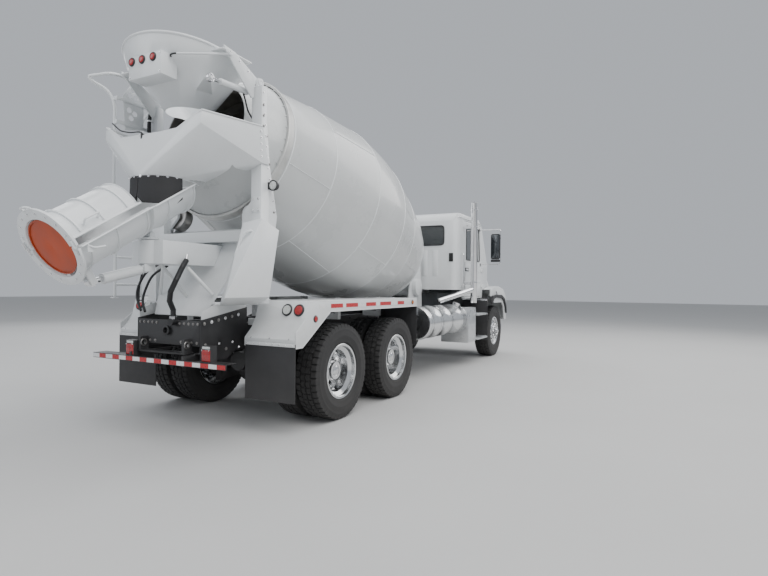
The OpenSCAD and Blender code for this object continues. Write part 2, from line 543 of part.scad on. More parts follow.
module rear_pedestal() place() color(white) {
    for (s = SIDES) {
        // column, wide at the roller and narrow at its top
        side_plate([[col_back, 1275], [col_front, 1275], [col_front, 1500], [-650, 2160], [-770, 2650], [-820, 3100], [-825, 3425], [col_back, 3425]], s > 0 ? col_in : -col_out, s > 0 ? col_out : -col_in);
        translate([-900, 0, 0]) rotate([90, 0, 90]) linear_extrude(height = 100) polygon([[s * (col_in + 5), 2300], [s * 560, 2170], [s * 560, 1950], [s * (col_in + 5), 1950]]);
        // fairing at the foot of the right column; the left one carries the ladder
        if (s < 0) hull() {
            side_plate([[-1055, 2090], [-804, 2000], [-940, 1345], [-1530, 1345]], s > 0 ? 945 : -950, s > 0 ? 950 : -945);
            side_plate([[-1040, 2060], [-780, 2000], [-780, 1265], [-1340, 1265]], s > 0 ? 700 : -705, s > 0 ? 705 : -700);
        }
        // hopper hinge ear on the column
        difference() {
            side_plate([[col_back, 3400], [-825, 3400], [-826, 3505], [-894, 3505]], s > 0 ? 725 : -750, s > 0 ? 750 : -725);
            ybar(hinge_x, hinge_z, 20.05, s > 0 ? 700 : -800, s > 0 ? 800 : -700);
        }
        // roller brackets
        on_roller(-s) {
            for (z = [-100, 70]) { translate([0, 0, z]) cylinder(r = 60, h = 30, $fn = 32); translate([-290, -60, z]) cube([290, 120, 30]); }
            translate([0, 0, -100]) cylinder(r = 30, h = 200, $fn = 48);
        }
        // foot on the frame
        side_plate([[-1300, foot_z(-1300)], [-700, foot_z(-700)], [-700, 1270], [-1116, 1270], [-1300, 1200]], s > 0 ? rail_y - 2 : -rail_y - 10, s > 0 ? rail_y + 10 : -rail_y + 2);
    }
    // cross beam, leaning rear plate and floor
    box(-900, -620, -705, 705, 1900, 2010);
    intersection() {
        side_plate([[lean_x(1150), 1150], [lean_x(2050), 2050], [lean_x(2050) + 9, 2045], [lean_x(1150) + 9, 1145]], -702, 702);
        translate([-1300, 0, 0]) rotate([90, 0, 90]) linear_extrude(height = 700) polygon([[-330, 1100], [330, 1100], [690, 2100], [-710, 2100], [-710, 1720], [-520, 1690]]);
    }
    box(-1116, col_front - 20, -705, 705, 1264, 1276);
    // lug and pin of the hopper ram
    box(-975, -895, -692, -680, 3345, 3400);
    ybar(hram_b[0], hram_b[1], 16, -692, hram_y + 22);
}
module collector() place() color(white) difference() {
    hull() {
        translate([0, 0, 3020]) linear_extrude(height = 2) polygon([[-900, 815], [-1530, 652], [-1530, -652], [-900, -815]]);
        translate([0, 0, 2898]) linear_extrude(height = 2) polygon([[-900, 815], [-1538, 652], [-1538, -652], [-900, -815]]);
        translate([0, 0, 2660]) linear_extrude(height = 2) polygon([[-800, 815], [-905, 815], [-905, -815], [-800, -815]]);
        translate([-1370, 0, 2445]) cylinder(r = 300, h = 40, $fn = 40);
    }
    // the same, 10 mm in, open at the top and the front
    hull() {
        translate([0, 0, 3030]) linear_extrude(height = 2) polygon([[-880, 803], [-1519, 642], [-1519, -642], [-880, -803]]);
        translate([0, 0, 2905]) linear_extrude(height = 2) polygon([[-880, 803], [-1527, 642], [-1527, -642], [-880, -803]]);
        translate([0, 0, 2675]) linear_extrude(height = 2) polygon([[-780, 803], [-895, 803], [-895, -803], [-780, -803]]);
        translate([-1370, 0, 2440]) cylinder(r = 290, h = 50, $fn = 40);
    }
    // curved notch at the back
    translate([-1300, 0, 0]) rotate([90, 0, -90]) linear_extrude(height = 500) polygon([[0, 2865], [380, 2882], [655, 3040], [-655, 3040], [-380, 2882]]);
    box(-1130, -700, -640, 640, 2470, 3060);
    // clear of the columns
    box(-902, -600, -800.5, 800.5, 2000, 3600);
}
module collector_flap() place() color(rubber) intersection() {
    translate([-1370, 0, 2200]) difference() {
        cylinder(r = 308, h = 245, $fn = 64);
        translate([0, 0, -5]) cylinder(r = 290, h = 300, $fn = 64);
    }
    box(-1700, -1485, -290, 290, 2235, 2600);
}
// D-shaped slice of the hopper: radius, place of its flat front, height and tilt.
module hopper_slice(r, front, z, tilt) translate([-1080, 0, z]) rotate([0, tilt, 0]) linear_extrude(height = 2) intersection() {
    circle(r = r, $fn = 48);
    translate([-r - 10, -r - 10]) square([r + 10 + front + 1080, 2 * r + 20]);
}
module charge_hopper() place() color(white) {
    difference() {
        union() {
            hull() { hopper_slice(620, -850, 3640, 11.3); hopper_slice(575, -850, 3580, 0); translate([-1080, 0, 3165]) cylinder(r = 190, h = 2, $fn = 48); }
            // lamp box, seats of the arms and lug of the ram
            box(-1660, -1480, -280, 150, 3363, 3572);
            for (s = SIDES) box(-1340, -950, s > 0 ? 560 : -714, s > 0 ? 714 : -560, 3632, 3642);
            translate([0, 0, 3335]) linear_extrude(height = 12) polygon([[-1200, -200], [-1460, -610], [-1390, -615], [-1050, -300]]);
        }
        hull() { hopper_slice(612, -858, 3645, 11.3); hopper_slice(567, -858, 3584, 0); translate([-1080, 0, 3155]) cylinder(r = 182, h = 2, $fn = 48); }
    }
    // arms and hinge pins
    for (s = SIDES) {
        side_plate([[-1330, 3668], [-1180, 3650], [-845, 3498], [-840, 3445], [-880, 3437], [-915, 3437], [-915, 3310], [-950, 3300], [-1300, 3625]], s > 0 ? 700 : -714, s > 0 ? 714 : -700);
        ybar(hinge_x, hinge_z, 34, s > 0 ? 700 : -714, s > 0 ? 714 : -700);
        ybar(hinge_x, hinge_z, 20, s > 0 ? 700 : -755, s > 0 ? 755 : -700);
    }
    ybar(hram_r[0], hram_r[1], 16, hram_y - 25, -585);
}
module hopper_ram_barrel() place() color(bright) translate([hram_b[0], hram_y, hram_b[1]]) rotate([0, -hram_ang, 0]) {
    difference() {
        union() {
            rotate([90, 0, 0]) cylinder(r = 32, h = 34, center = true, $fn = 32);
            xbar(0, 0, 30, 20, 360, 40);
        }
        rotate([90, 0, 0]) cylinder(r = 16.05, h = 40, center = true, $fn = 32);
        xbar(0, 0, 18.05, 60, 370, 40);
    }
}
module hopper_ram_rod() place() color(bright) translate([hram_b[0], hram_y, hram_b[1]]) rotate([0, -hram_ang, 0]) {
    xbar(0, 0, 18, 100, hram_len - 30, 40);
    translate([hram_len, 0, 0]) difference() {
        rotate([90, 0, 0]) cylinder(r = 38, h = 34, center = true, $fn = 32);
        rotate([90, 0, 0]) cylinder(r = 26.5, h = 40, center = true, $fn = 32);
    }
}
module ladder() place() color(white) {
    // rails and rungs on the left
    pipe([[-1180, 985, 1330], [-1180, 985, 2350], [-1300, 850, 2480], [-1300, 850, 3370], [-1340, 900, 3500], [-1480, 980, 3570]], 16);
    pipe([[-860, 985, 1330], [-860, 985, 3300], [-860, 860, 3400]], 16);
    for (i = [0 : 3]) xbar(985, 1450 + i * 300, 13, -1180, -860);
    for (z = [2250, 3000]) box(-875, -845, 800, 985, z, z + 30);
    // guard beside the hopper, with round holes
    difference() {
        side_plate([[-1107, 3652], [-1053, 3682], [-980, 3400], [-978, 3156], [-1207, 3101], [-1237, 3468]], 806, 812);
        for (p = [[-1130, 3520], [-1090, 3380], [-1150, 3250]]) ybar(p[0], p[1], 32, 790, 830);
    }
    for (z = [3150, 3400]) {
        box(-1310, -860, 800, 807, z, z + 40);
        box(-1312, -1288, 802, 850, z, z + 40);
    }
}
// Hydraulic hoses from the arm down to the rear end of the frame.
hose_path = [[-1310, -238, 1690], [-1380, -262, 1620], [-1440, -250, 1500], [-1450, -190, 1390], [-1410, -130, 1300], [-1339, -100, 1210], [-1339, -100, 1090]];
module hydraulic_hoses() place() color(rubber) {
    pipe(hose_path, 26, 16);
    xbar(-100, 1095, 34, -1375, frame_back - 12, 16);
}

// ---------------------------------------------------------------- chute
module chute_arm() place() color(white) {
    difference() {
        union() {
            side_plate([[post_x - 20, 1650], [post_x - 20, 1868], [lean_x(1868) - 0.3, 1868], [lean_x(1650) - 0.3, 1650]], -210, 210);
            zbar(post_x, 0, 90, 1650, 1872, 48);
        }
        zbar(post_x, 0, 45.05, 1600, 1900, 48);
    }
}
module chute_swivel() place() color(white) {
    zbar(post_x, 0, 45, 1641, 1895, 48);
    translate([post_x, 0, 1878]) cylinder(r = 85, h = 17, $fn = 48);
    for (s = SIDES) difference() {
        union() {
            side_plate([[tilt_x - 25, 1880], [tilt_x + 25, 1880], [tilt_x + 25, tilt_z], [tilt_x - 25, tilt_z]], s * 62 - 8, s * 62 + 8);
            ybar(tilt_x, tilt_z, 26, s * 62 - 8, s * 62 + 8);
        }
        ybar(tilt_x, tilt_z, 16.05, s * 62 - 20, s * 62 + 20);
    }
    box(tilt_x - 60, tilt_x + 60, -80, 80, 1878, 1890);
    // lower clevis for the lift ram
    translate([post_x, 0, 1641]) cylinder(r = 70, h = 8.5, $fn = 48);
    for (s = SIDES) side_plate([[ram_b[0] - 25, 1575], [post_x + 30, 1575], [post_x + 30, 1645], [ram_b[0] - 25, 1645]], s * 42 - 8, s * 42 + 8);
    ybar(ram_b[0], ram_b[1], 16, -50, 50);
}
// Trough of the chute as a round gutter: from, to along the chute, radius, edge height.
module gutter(a, b, r, t, edge) translate([a, 0, 0]) rotate([90, 0, 90]) linear_extrude(height = b - a) difference() {
    circle(r = r + t, $fn = 64);
    circle(r = r, $fn = 64);
    translate([-1000, edge]) square([2000, 1000]);
}
module half_ring(x0, x1, r0, r1, up) translate([x0, 0, 0]) rotate([90, 0, 90]) linear_extrude(height = x1 - x0) difference() {
    circle(r = r1, $fn = 64);
    circle(r = r0, $fn = 64);
    translate([-1000, up ? -1000 : -12]) square([2000, up ? 1012 : 1000]);
}
module main_chute() place() {
    color(white) on_chute() {
        gutter(0, 776, chute_in, chute_t, -10);
        // plate that closes the step, and the wider upper part
        translate([776, 0, 0]) rotate([90, 0, 90]) linear_extrude(height = 8) difference() {
            translate([0, wide_up]) circle(r = chute_in + wide_up + 11, $fn = 64);
            circle(r = chute_in, $fn = 64);
            translate([-1000, -10]) square([2000, 1000]);
        }
        translate([0, 0, wide_up]) difference() {
            gutter(784, chute_len, 330, 8, -10 - wide_up);
            box(700, 1400, -400, 400, -10 - wide_up, 400);
        }
        difference() {
            half_ring(-20, 0.5, chute_in + 2, flange_r, false);
            // pockets for the folding part's lugs when it is open
            for (s = SIDES) box(-21, -8, s > 0 ? 308.5 : -323.5, s > 0 ? 323.5 : -308.5, -65, -11);
        }
        for (s = SIDES) {
            box(20, 784, s > 0 ? chute_in + 3 : -330, s > 0 ? 330 : -chute_in - 3, -20, -12);
            box(776, chute_len, s > 0 ? 322 : -345, s > 0 ? 345 : -322, -20, -12);
        }
        // disc across the lower end, on its foot
        box(0, 12, -20, 20, -300, -230);
    }
    color([0.65, 0.05, 0.05]) on_chute() translate([2, 0, 0]) rotate([0, 90, 0]) cylinder(r = 240, h = 8, $fn = 64);
    // hinge barrel under the chute
    color(white) difference() {
        union() {
            ybar(tilt_x, tilt_z, 30, -50, 50);
            translate([tilt_x, 0, tilt_z]) rotate([0, -chute_slope, 0]) box(-25, 25, -46, 46, 0, 33.6);
        }
        ybar(tilt_x, tilt_z, 16, -60, 60);
    }
    ybar(tilt_x, tilt_z, 16, -75, 75);
    // ram bracket
    color(white) for (s = SIDES) translate([ram_r[0], 0, ram_r[1]]) rotate([0, -chute_slope, 0]) box(-30, 30, s * 42 - 8, s * 42 + 8, -25, 134);
    ybar(ram_r[0], ram_r[1], 16, -50, 50);
    // hinge lugs and pins of the folding part
    color(white) on_chute() for (s = SIDES) {
        box(-37, -13, s > 0 ? 294 : -306, s > 0 ? 306 : -294, -60, 0);
        ybar(-25, 0, 12, s > 0 ? 294 : -306, s > 0 ? 306 : -294);
        ybar(-25, 0, 7, s > 0 ? 300 : -324, s > 0 ? 324 : -300);
    }
}
module fold_chute() place() color(white) on_chute() difference() {
    union() {
        rotate([180, 0, 0]) gutter(0, fold_len, 250, 8, -60);
        difference() {
            half_ring(-20, 0.5, 252, flange_r, true);
            for (s = SIDES) box(-21, 1, s > 0 ? 291 : -309, s > 0 ? 309 : -291, 11, 66);
        }
        for (s = SIDES) {
            box(0, fold_len, s > 0 ? 245 : -310, s > 0 ? 310 : -245, 61, 69);
            box(-37, -13, s > 0 ? 310 : -322, s > 0 ? 322 : -310, 0, 60);
            ybar(-25, 0, 12, s > 0 ? 310 : -322, s > 0 ? 322 : -310);
        }
    }
    ybar(-25, 0, 7.05, -400, 400);
}
module lift_ram_barrel() place() color(bright) translate([ram_b[0], 0, ram_b[1]]) rotate([0, -ram_ang, 0]) difference() {
    union() {
        rotate([90, 0, 0]) cylinder(r = 38, h = 60, center = true, $fn = 32);
        xbar(0, 0, 28, 20, 60, 48);
        xbar(0, 0, 46, 44, 430, 48);
    }
    rotate([90, 0, 0]) cylinder(r = 16.05, h = 70, center = true, $fn = 32);
    xbar(0, 0, 25.05, 60, 440, 48);
}
module lift_ram_rod() place() color(bright) translate([ram_b[0], 0, ram_b[1]]) rotate([0, -ram_ang, 0]) {
    xbar(0, 0, 25, 90, ram_len - 20, 48);
    translate([ram_len, 0, 0]) difference() {
        rotate([90, 0, 0]) cylinder(r = 40, h = 60, center = true, $fn = 32);
        rotate([90, 0, 0]) cylinder(r = 23, h = 70, center = true, $fn = 32);
    }
}

chassis_frame();
front_bumper();
engine_block();
front_axle_beam();
rear_axles();
suspension();
cab_shell();
cab_glass();
cab_interior();
steering_wheel();
door_left();
door_right();
door_glass_left();
door_glass_right();
mirror_left();
mirror_right();
hood();
hood_trim();
knuckle_left();
knuckle_right();
front_tyre_left();
front_tyre_right();
front_rim_left();
front_rim_right();
middle_tyres_left();
middle_tyres_right();
middle_rims_left();
middle_rims_right();
rear_tyres_left();
rear_tyres_right();
rear_rims_left();
rear_rims_right();
fuel_tank();
water_tank();
cab_steps();
exhaust_stack();
rear_fenders();
rubber_flaps();
light_bar();
front_pedestal();
drum_gearbox();
rear_pedestal();
drum_shell();
drum_track();
roller_left();
roller_right();
collector();
collector_flap();
ladder();
hydraulic_hoses();
charge_hopper();
hopper_ram_barrel();
hopper_ram_rod();
chute_arm();
chute_swivel();
main_chute();
fold_chute();
lift_ram_barrel();
lift_ram_rod();
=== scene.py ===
import json
import math
import random

import bmesh
import bpy
from mathutils import Matrix, Vector


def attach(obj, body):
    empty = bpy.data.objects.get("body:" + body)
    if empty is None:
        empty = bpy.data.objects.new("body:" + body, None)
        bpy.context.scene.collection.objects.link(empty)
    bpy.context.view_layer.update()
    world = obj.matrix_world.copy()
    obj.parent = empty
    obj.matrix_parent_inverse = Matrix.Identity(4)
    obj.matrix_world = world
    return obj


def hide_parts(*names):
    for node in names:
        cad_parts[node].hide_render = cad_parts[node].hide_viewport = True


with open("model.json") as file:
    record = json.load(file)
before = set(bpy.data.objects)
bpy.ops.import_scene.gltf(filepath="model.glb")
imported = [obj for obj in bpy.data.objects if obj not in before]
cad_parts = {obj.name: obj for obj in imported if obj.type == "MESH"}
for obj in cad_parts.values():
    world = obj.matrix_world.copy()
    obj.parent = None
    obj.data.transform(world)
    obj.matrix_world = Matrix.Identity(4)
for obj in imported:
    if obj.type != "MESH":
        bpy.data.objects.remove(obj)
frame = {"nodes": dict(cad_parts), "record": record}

random.seed(7)
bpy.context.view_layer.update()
NODES = frame["nodes"]
SX = -2.23367          # shift from the rearmost axle to the truck's middle, metres
LEFT, RIGHT = 1, -1


def P(x, y, z):
    """A point given in millimetres from the rearmost axle, as metres in the frame."""
    return Vector((x / 1000 + SX, y / 1000, z / 1000))


# ------------------------------------------------------------------ camera
def camera():
    yaw, pitch, roll = math.radians(27.273), math.radians(-0.060), math.radians(0.583)
    fwd = Vector((math.cos(yaw) * math.cos(pitch), math.sin(yaw) * math.cos(pitch), math.sin(pitch)))
    right = Vector((math.sin(yaw), -math.cos(yaw), 0))
    up = right.cross(fwd)
    r2 = right * math.cos(roll) + up * math.sin(roll)
    u2 = up * math.cos(roll) - right * math.sin(roll)
    cam = bpy.data.cameras.new("camera")
    cam.sensor_width = 36
    cam.lens = 532.94 * 36 / 768
    cam.clip_end = 400
    ob = bpy.data.objects.new("camera", cam)
    bpy.context.scene.collection.objects.link(ob)
    m = Matrix((r2, u2, -fwd)).transposed().to_4x4()
    m.translation = Vector((-4.998 + SX, -4.284, 1.449))
    ob.matrix_world = m
    bpy.context.scene.camera = ob


camera()


# ------------------------------------------------------------------ materials
def new_mat(name):
    m = bpy.data.materials.new(name)
    m.use_nodes = True
    nt = m.node_tree
    return m, nt, nt.nodes["Principled BSDF"]


def noise(nt, scale, detail=4, rough=0.55, stretch=None):
    tc = nt.nodes.new("ShaderNodeTexCoord")
    n = nt.nodes.new("ShaderNodeTexNoise")
    n.inputs["Scale"].default_value = scale
    n.inputs["Detail"].default_value = detail
    n.inputs["Roughness"].default_value = rough
    if stretch:
        mp = nt.nodes.new("ShaderNodeMapping")
        mp.inputs["Scale"].default_value = stretch
        nt.links.new(tc.outputs["Object"], mp.inputs["Vector"])
        nt.links.new(mp.outputs["Vector"], n.inputs["Vector"])
    else:
        nt.links.new(tc.outputs["Object"], n.inputs["Vector"])
    return n.outputs["Fac"]


def ramp(nt, fac, stops):
    r = nt.nodes.new("ShaderNodeValToRGB")
    e = r.color_ramp.elements
    e[0].position, e[0].color = stops[0][0], (*stops[0][1], 1)
    e[1].position, e[1].color = stops[-1][0], (*stops[-1][1], 1)
    for p, c in stops[1:-1]:
        k = e.new(p)
        k.color = (*c, 1)
    nt.links.new(fac, r.inputs["Fac"])
    return r.outputs["Color"]


def mixc(nt, fac, a, b):
    m = nt.nodes.new("ShaderNodeMix")
    m.data_type = "RGBA"
    if hasattr(fac, "is_linked"):
        nt.links.new(fac, m.inputs["Factor"])
    else:
        m.inputs["Factor"].default_value = fac
    for v, i in ((a, 6), (b, 7)):
        if hasattr(v, "is_linked"):
            nt.links.new(v, m.inputs[i])
        else:
            m.inputs[i].default_value = (*v, 1)
    return m.outputs[2]


def height_mask(nt, z0, z1):
    """1 below z0, 0 above z1, metres over the ground."""
    tc = nt.nodes.new("ShaderNodeTexCoord")
    s = nt.nodes.new("ShaderNodeSeparateXYZ")
    nt.links.new(tc.outputs["Object"], s.inputs[0])
    r = nt.nodes.new("ShaderNodeMapRange")
    r.inputs["From Min"].default_value = z0
    r.inputs["From Max"].default_value = z1
    r.inputs["To Min"].default_value = 1
    r.inputs["To Max"].default_value = 0
    nt.links.new(s.outputs["Z"], r.inputs["Value"])
    return r.outputs["Result"]


def math_node(nt, op, a, b):
    m = nt.nodes.new("ShaderNodeMath")
    m.operation = op
    for v, i in ((a, 0), (b, 1)):
        if hasattr(v, "is_linked"):
            nt.links.new(v, m.inputs[i])
        else:
            m.inputs[i].default_value = v
    return m.outputs[0]


def bump(nt, bsdf, h, strength, dist):
    b = nt.nodes.new("ShaderNodeBump")
    b.inputs["Strength"].default_value = strength
    b.inputs["Distance"].default_value = dist
    nt.links.new(h, b.inputs["Height"])
    nt.links.new(b.outputs["Normal"], bsdf.inputs["Normal"])


def rough_range(nt, bsdf, fac, lo, hi):
    r = nt.nodes.new("ShaderNodeMapRange")
    r.inputs["From Min"].default_value = 0.3
    r.inputs["From Max"].default_value = 0.7
    r.inputs["To Min"].default_value = lo
    r.inputs["To Max"].default_value = hi
    nt.links.new(fac, r.inputs["Value"])
    nt.links.new(r.outputs["Result"], bsdf.inputs["Roughness"])


def surface(name, base, rough=(0.3, 0.4), metallic=0.0, coat=0.0, var=0.04, scale=3.0, fine=60, bump_s=0.05, bump_d=0.001,
            dirt=None, dirt_z=(0.4, 1.6), dirt_amount=0.5, spec=0.5, stretch=None, streak=0.0):
    m, nt, b = new_mat(name)
    n1 = noise(nt, scale, 5, 0.6)
    lo = tuple(c * (1 - var) for c in base)
    hi = tuple(min(1, c * (1 + var * 0.6)) for c in base)
    col = ramp(nt, n1, [(0.3, lo), (0.7, hi)])
    n2 = noise(nt, fine, 6, 0.6, stretch)
    if streak:
        n4 = noise(nt, 5.0, 5, 0.65, (3.0, 3.0, 0.25))
        f = ramp(nt, n4, [(0.52, (0, 0, 0)), (0.75, (streak, streak, streak))])
        col = mixc(nt, f, col, tuple(c * 0.72 for c in base))
    if dirt:
        n3 = noise(nt, 7.0, 8, 0.7)
        f = math_node(nt, "MULTIPLY", height_mask(nt, *dirt_z), math_node(nt, "MULTIPLY", n3, dirt_amount * 1.6))
        col = mixc(nt, f, col, dirt)
    nt.links.new(col, b.inputs["Base Color"])
    rough_range(nt, b, n2 if stretch else n1, *rough)
    b.inputs["Metallic"].default_value = metallic
    b.inputs["Coat Weight"].default_value = coat
    b.inputs["Coat Roughness"].default_value = 0.08
    b.inputs["Specular IOR Level"].default_value = spec
    bump(nt, b, n2, bump_s, bump_d)
    return m


DUST = (0.30, 0.27, 0.23)
MAT = {
    "white": surface("white_paint", (0.80, 0.82, 0.83), (0.28, 0.42), coat=0.35, var=0.03, scale=2.2, fine=120, bump_s=0.03, dirt=DUST, dirt_z=(0.5, 1.9), dirt_amount=0.30, streak=0.10),
    "drum": surface("drum_paint", (0.60, 0.615, 0.615), (0.22, 0.38), coat=0.4, var=0.045, scale=1.3, fine=16, bump_s=0.05, bump_d=0.003, dirt=(0.44, 0.43, 0.41), dirt_z=(1.0, 2.1), dirt_amount=0.25, streak=0.10),
    "drum_in": surface("drum_inside", (0.33, 0.32, 0.30), (0.6, 0.8), var=0.25, scale=6, fine=40, bump_s=0.4, bump_d=0.004),
    "black": surface("black_paint", (0.022, 0.022, 0.024), (0.38, 0.6), coat=0.1, var=0.35, scale=7, fine=70, bump_s=0.15, dirt=(0.13, 0.12, 0.11), dirt_z=(0.2, 1.3), dirt_amount=0.18),
    "alu": surface("polished_aluminium", (0.80, 0.81, 0.82), (0.12, 0.26), metallic=1.0, var=0.05, scale=9, fine=30, bump_s=0.02, dirt=(0.30, 0.28, 0.25), dirt_z=(0.1, 0.9), dirt_amount=0.28),
    "alu_tread": surface("tread_aluminium", (0.72, 0.73, 0.74), (0.25, 0.45), metallic=1.0, var=0.08, scale=9, fine=50, bump_s=0.1),
    "steel": surface("bright_steel", (0.83, 0.83, 0.84), (0.06, 0.14), metallic=1.0, var=0.03, scale=8, fine=40, bump_s=0.01),
    "worn": surface("worn_steel", (0.34, 0.33, 0.32), (0.28, 0.5), metallic=0.85, var=0.25, scale=10, fine=60, bump_s=0.15),
    "ring": surface("track_steel", (0.60, 0.60, 0.585), (0.30, 0.5), metallic=0.35, var=0.16, scale=10, fine=60, bump_s=0.12),
    "mirror": surface("mirror_glass", (0.045, 0.052, 0.060), (0.03, 0.07), metallic=0.5, coat=1.0, var=0.05, scale=6, fine=40, bump_s=0.01),
    "cast": surface("cast_grey", (0.20, 0.21, 0.22), (0.5, 0.7), metallic=0.2, var=0.2, scale=9, fine=110, bump_s=0.35),
    "flap": surface("flap_rubber", (0.028, 0.028, 0.030), (0.55, 0.75), var=0.3, scale=6, fine=180, bump_s=0.2, dirt=(0.16, 0.15, 0.14), dirt_z=(0.3, 0.9), dirt_amount=0.18),
    "tyre": surface("tyre_rubber", (0.026, 0.026, 0.027), (0.62, 0.85), var=0.3, scale=14, fine=160, bump_s=0.25, dirt=(0.11, 0.10, 0.09), dirt_z=(0.0, 1.2), dirt_amount=0.22),
    "plastic": surface("dark_plastic", (0.030, 0.030, 0.032), (0.42, 0.6), var=0.15, scale=9, fine=240, bump_s=0.2),
    "fabric": surface("interior", (0.085, 0.085, 0.09), (0.8, 0.95), var=0.2, scale=20, fine=420, bump_s=0.5),
    "red": surface("red_lens", (0.42, 0.012, 0.014), (0.10, 0.18), coat=0.8, var=0.25, scale=40, fine=90, bump_s=0.25, bump_d=0.0015),
    "amber": surface("amber_lens", (0.70, 0.20, 0.02), (0.10, 0.18), coat=0.8, var=0.25, scale=40, fine=90, bump_s=0.25, bump_d=0.0015),
    "clear": surface("clear_lens", (0.62, 0.64, 0.62), (0.08, 0.15), coat=0.8, var=0.25, scale=50, fine=120, bump_s=0.3, bump_d=0.0015),
    "tape_red": surface("tape_red", (0.50, 0.03, 0.035), (0.25, 0.35), var=0.15, scale=50, fine=300, bump_s=0.2),
    "tape_white": surface("tape_white", (0.80, 0.80, 0.80), (0.25, 0.35), var=0.1, scale=50, fine=300, bump_s=0.2),
    "disc": surface("red_disc", (0.46, 0.058, 0.010), (0.34, 0.5), var=0.2, scale=5, fine=90, bump_s=0.2),
    "hose": surface("hose_rubber", (0.018, 0.018, 0.020), (0.35, 0.5), var=0.2, scale=15, fine=200, bump_s=0.25),
}


def glass():
    m, nt, b = new_mat("dark_glass")
    n = noise(nt, 3.0, 4)
    nt.links.new(ramp(nt, n, [(0.3, (0.030, 0.038, 0.042)), (0.7, (0.042, 0.050, 0.054))]), b.inputs["Base Color"])
    rough_range(nt, b, n, 0.03, 0.06)
    b.inputs["Alpha"].default_value = 0.72
    b.inputs["Coat Weight"].default_value = 1.0
    b.inputs["Coat Roughness"].default_value = 0.02
    bump(nt, b, noise(nt, 2.0, 2), 0.02, 0.002)
    return m


MAT["glass"] = glass()


# ------------------------------------------------------------------ mesh tools
def link(name, me, body, nodes=()):
    ob = bpy.data.objects.new(name, me)
    bpy.context.scene.collection.objects.link(ob)
    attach(ob, body)
    if nodes:
        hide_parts(*nodes)
    return ob


def set_smooth(me, angle=32):
    bm = bmesh.new()
    bm.from_mesh(me)
    for f in bm.faces:
        f.smooth = True
    lim = math.radians(angle)
    for e in bm.edges:
        e.smooth = not (len(e.link_faces) != 2 or e.calc_face_angle(0) > lim)
    bm.to_mesh(me)
    bm.free()


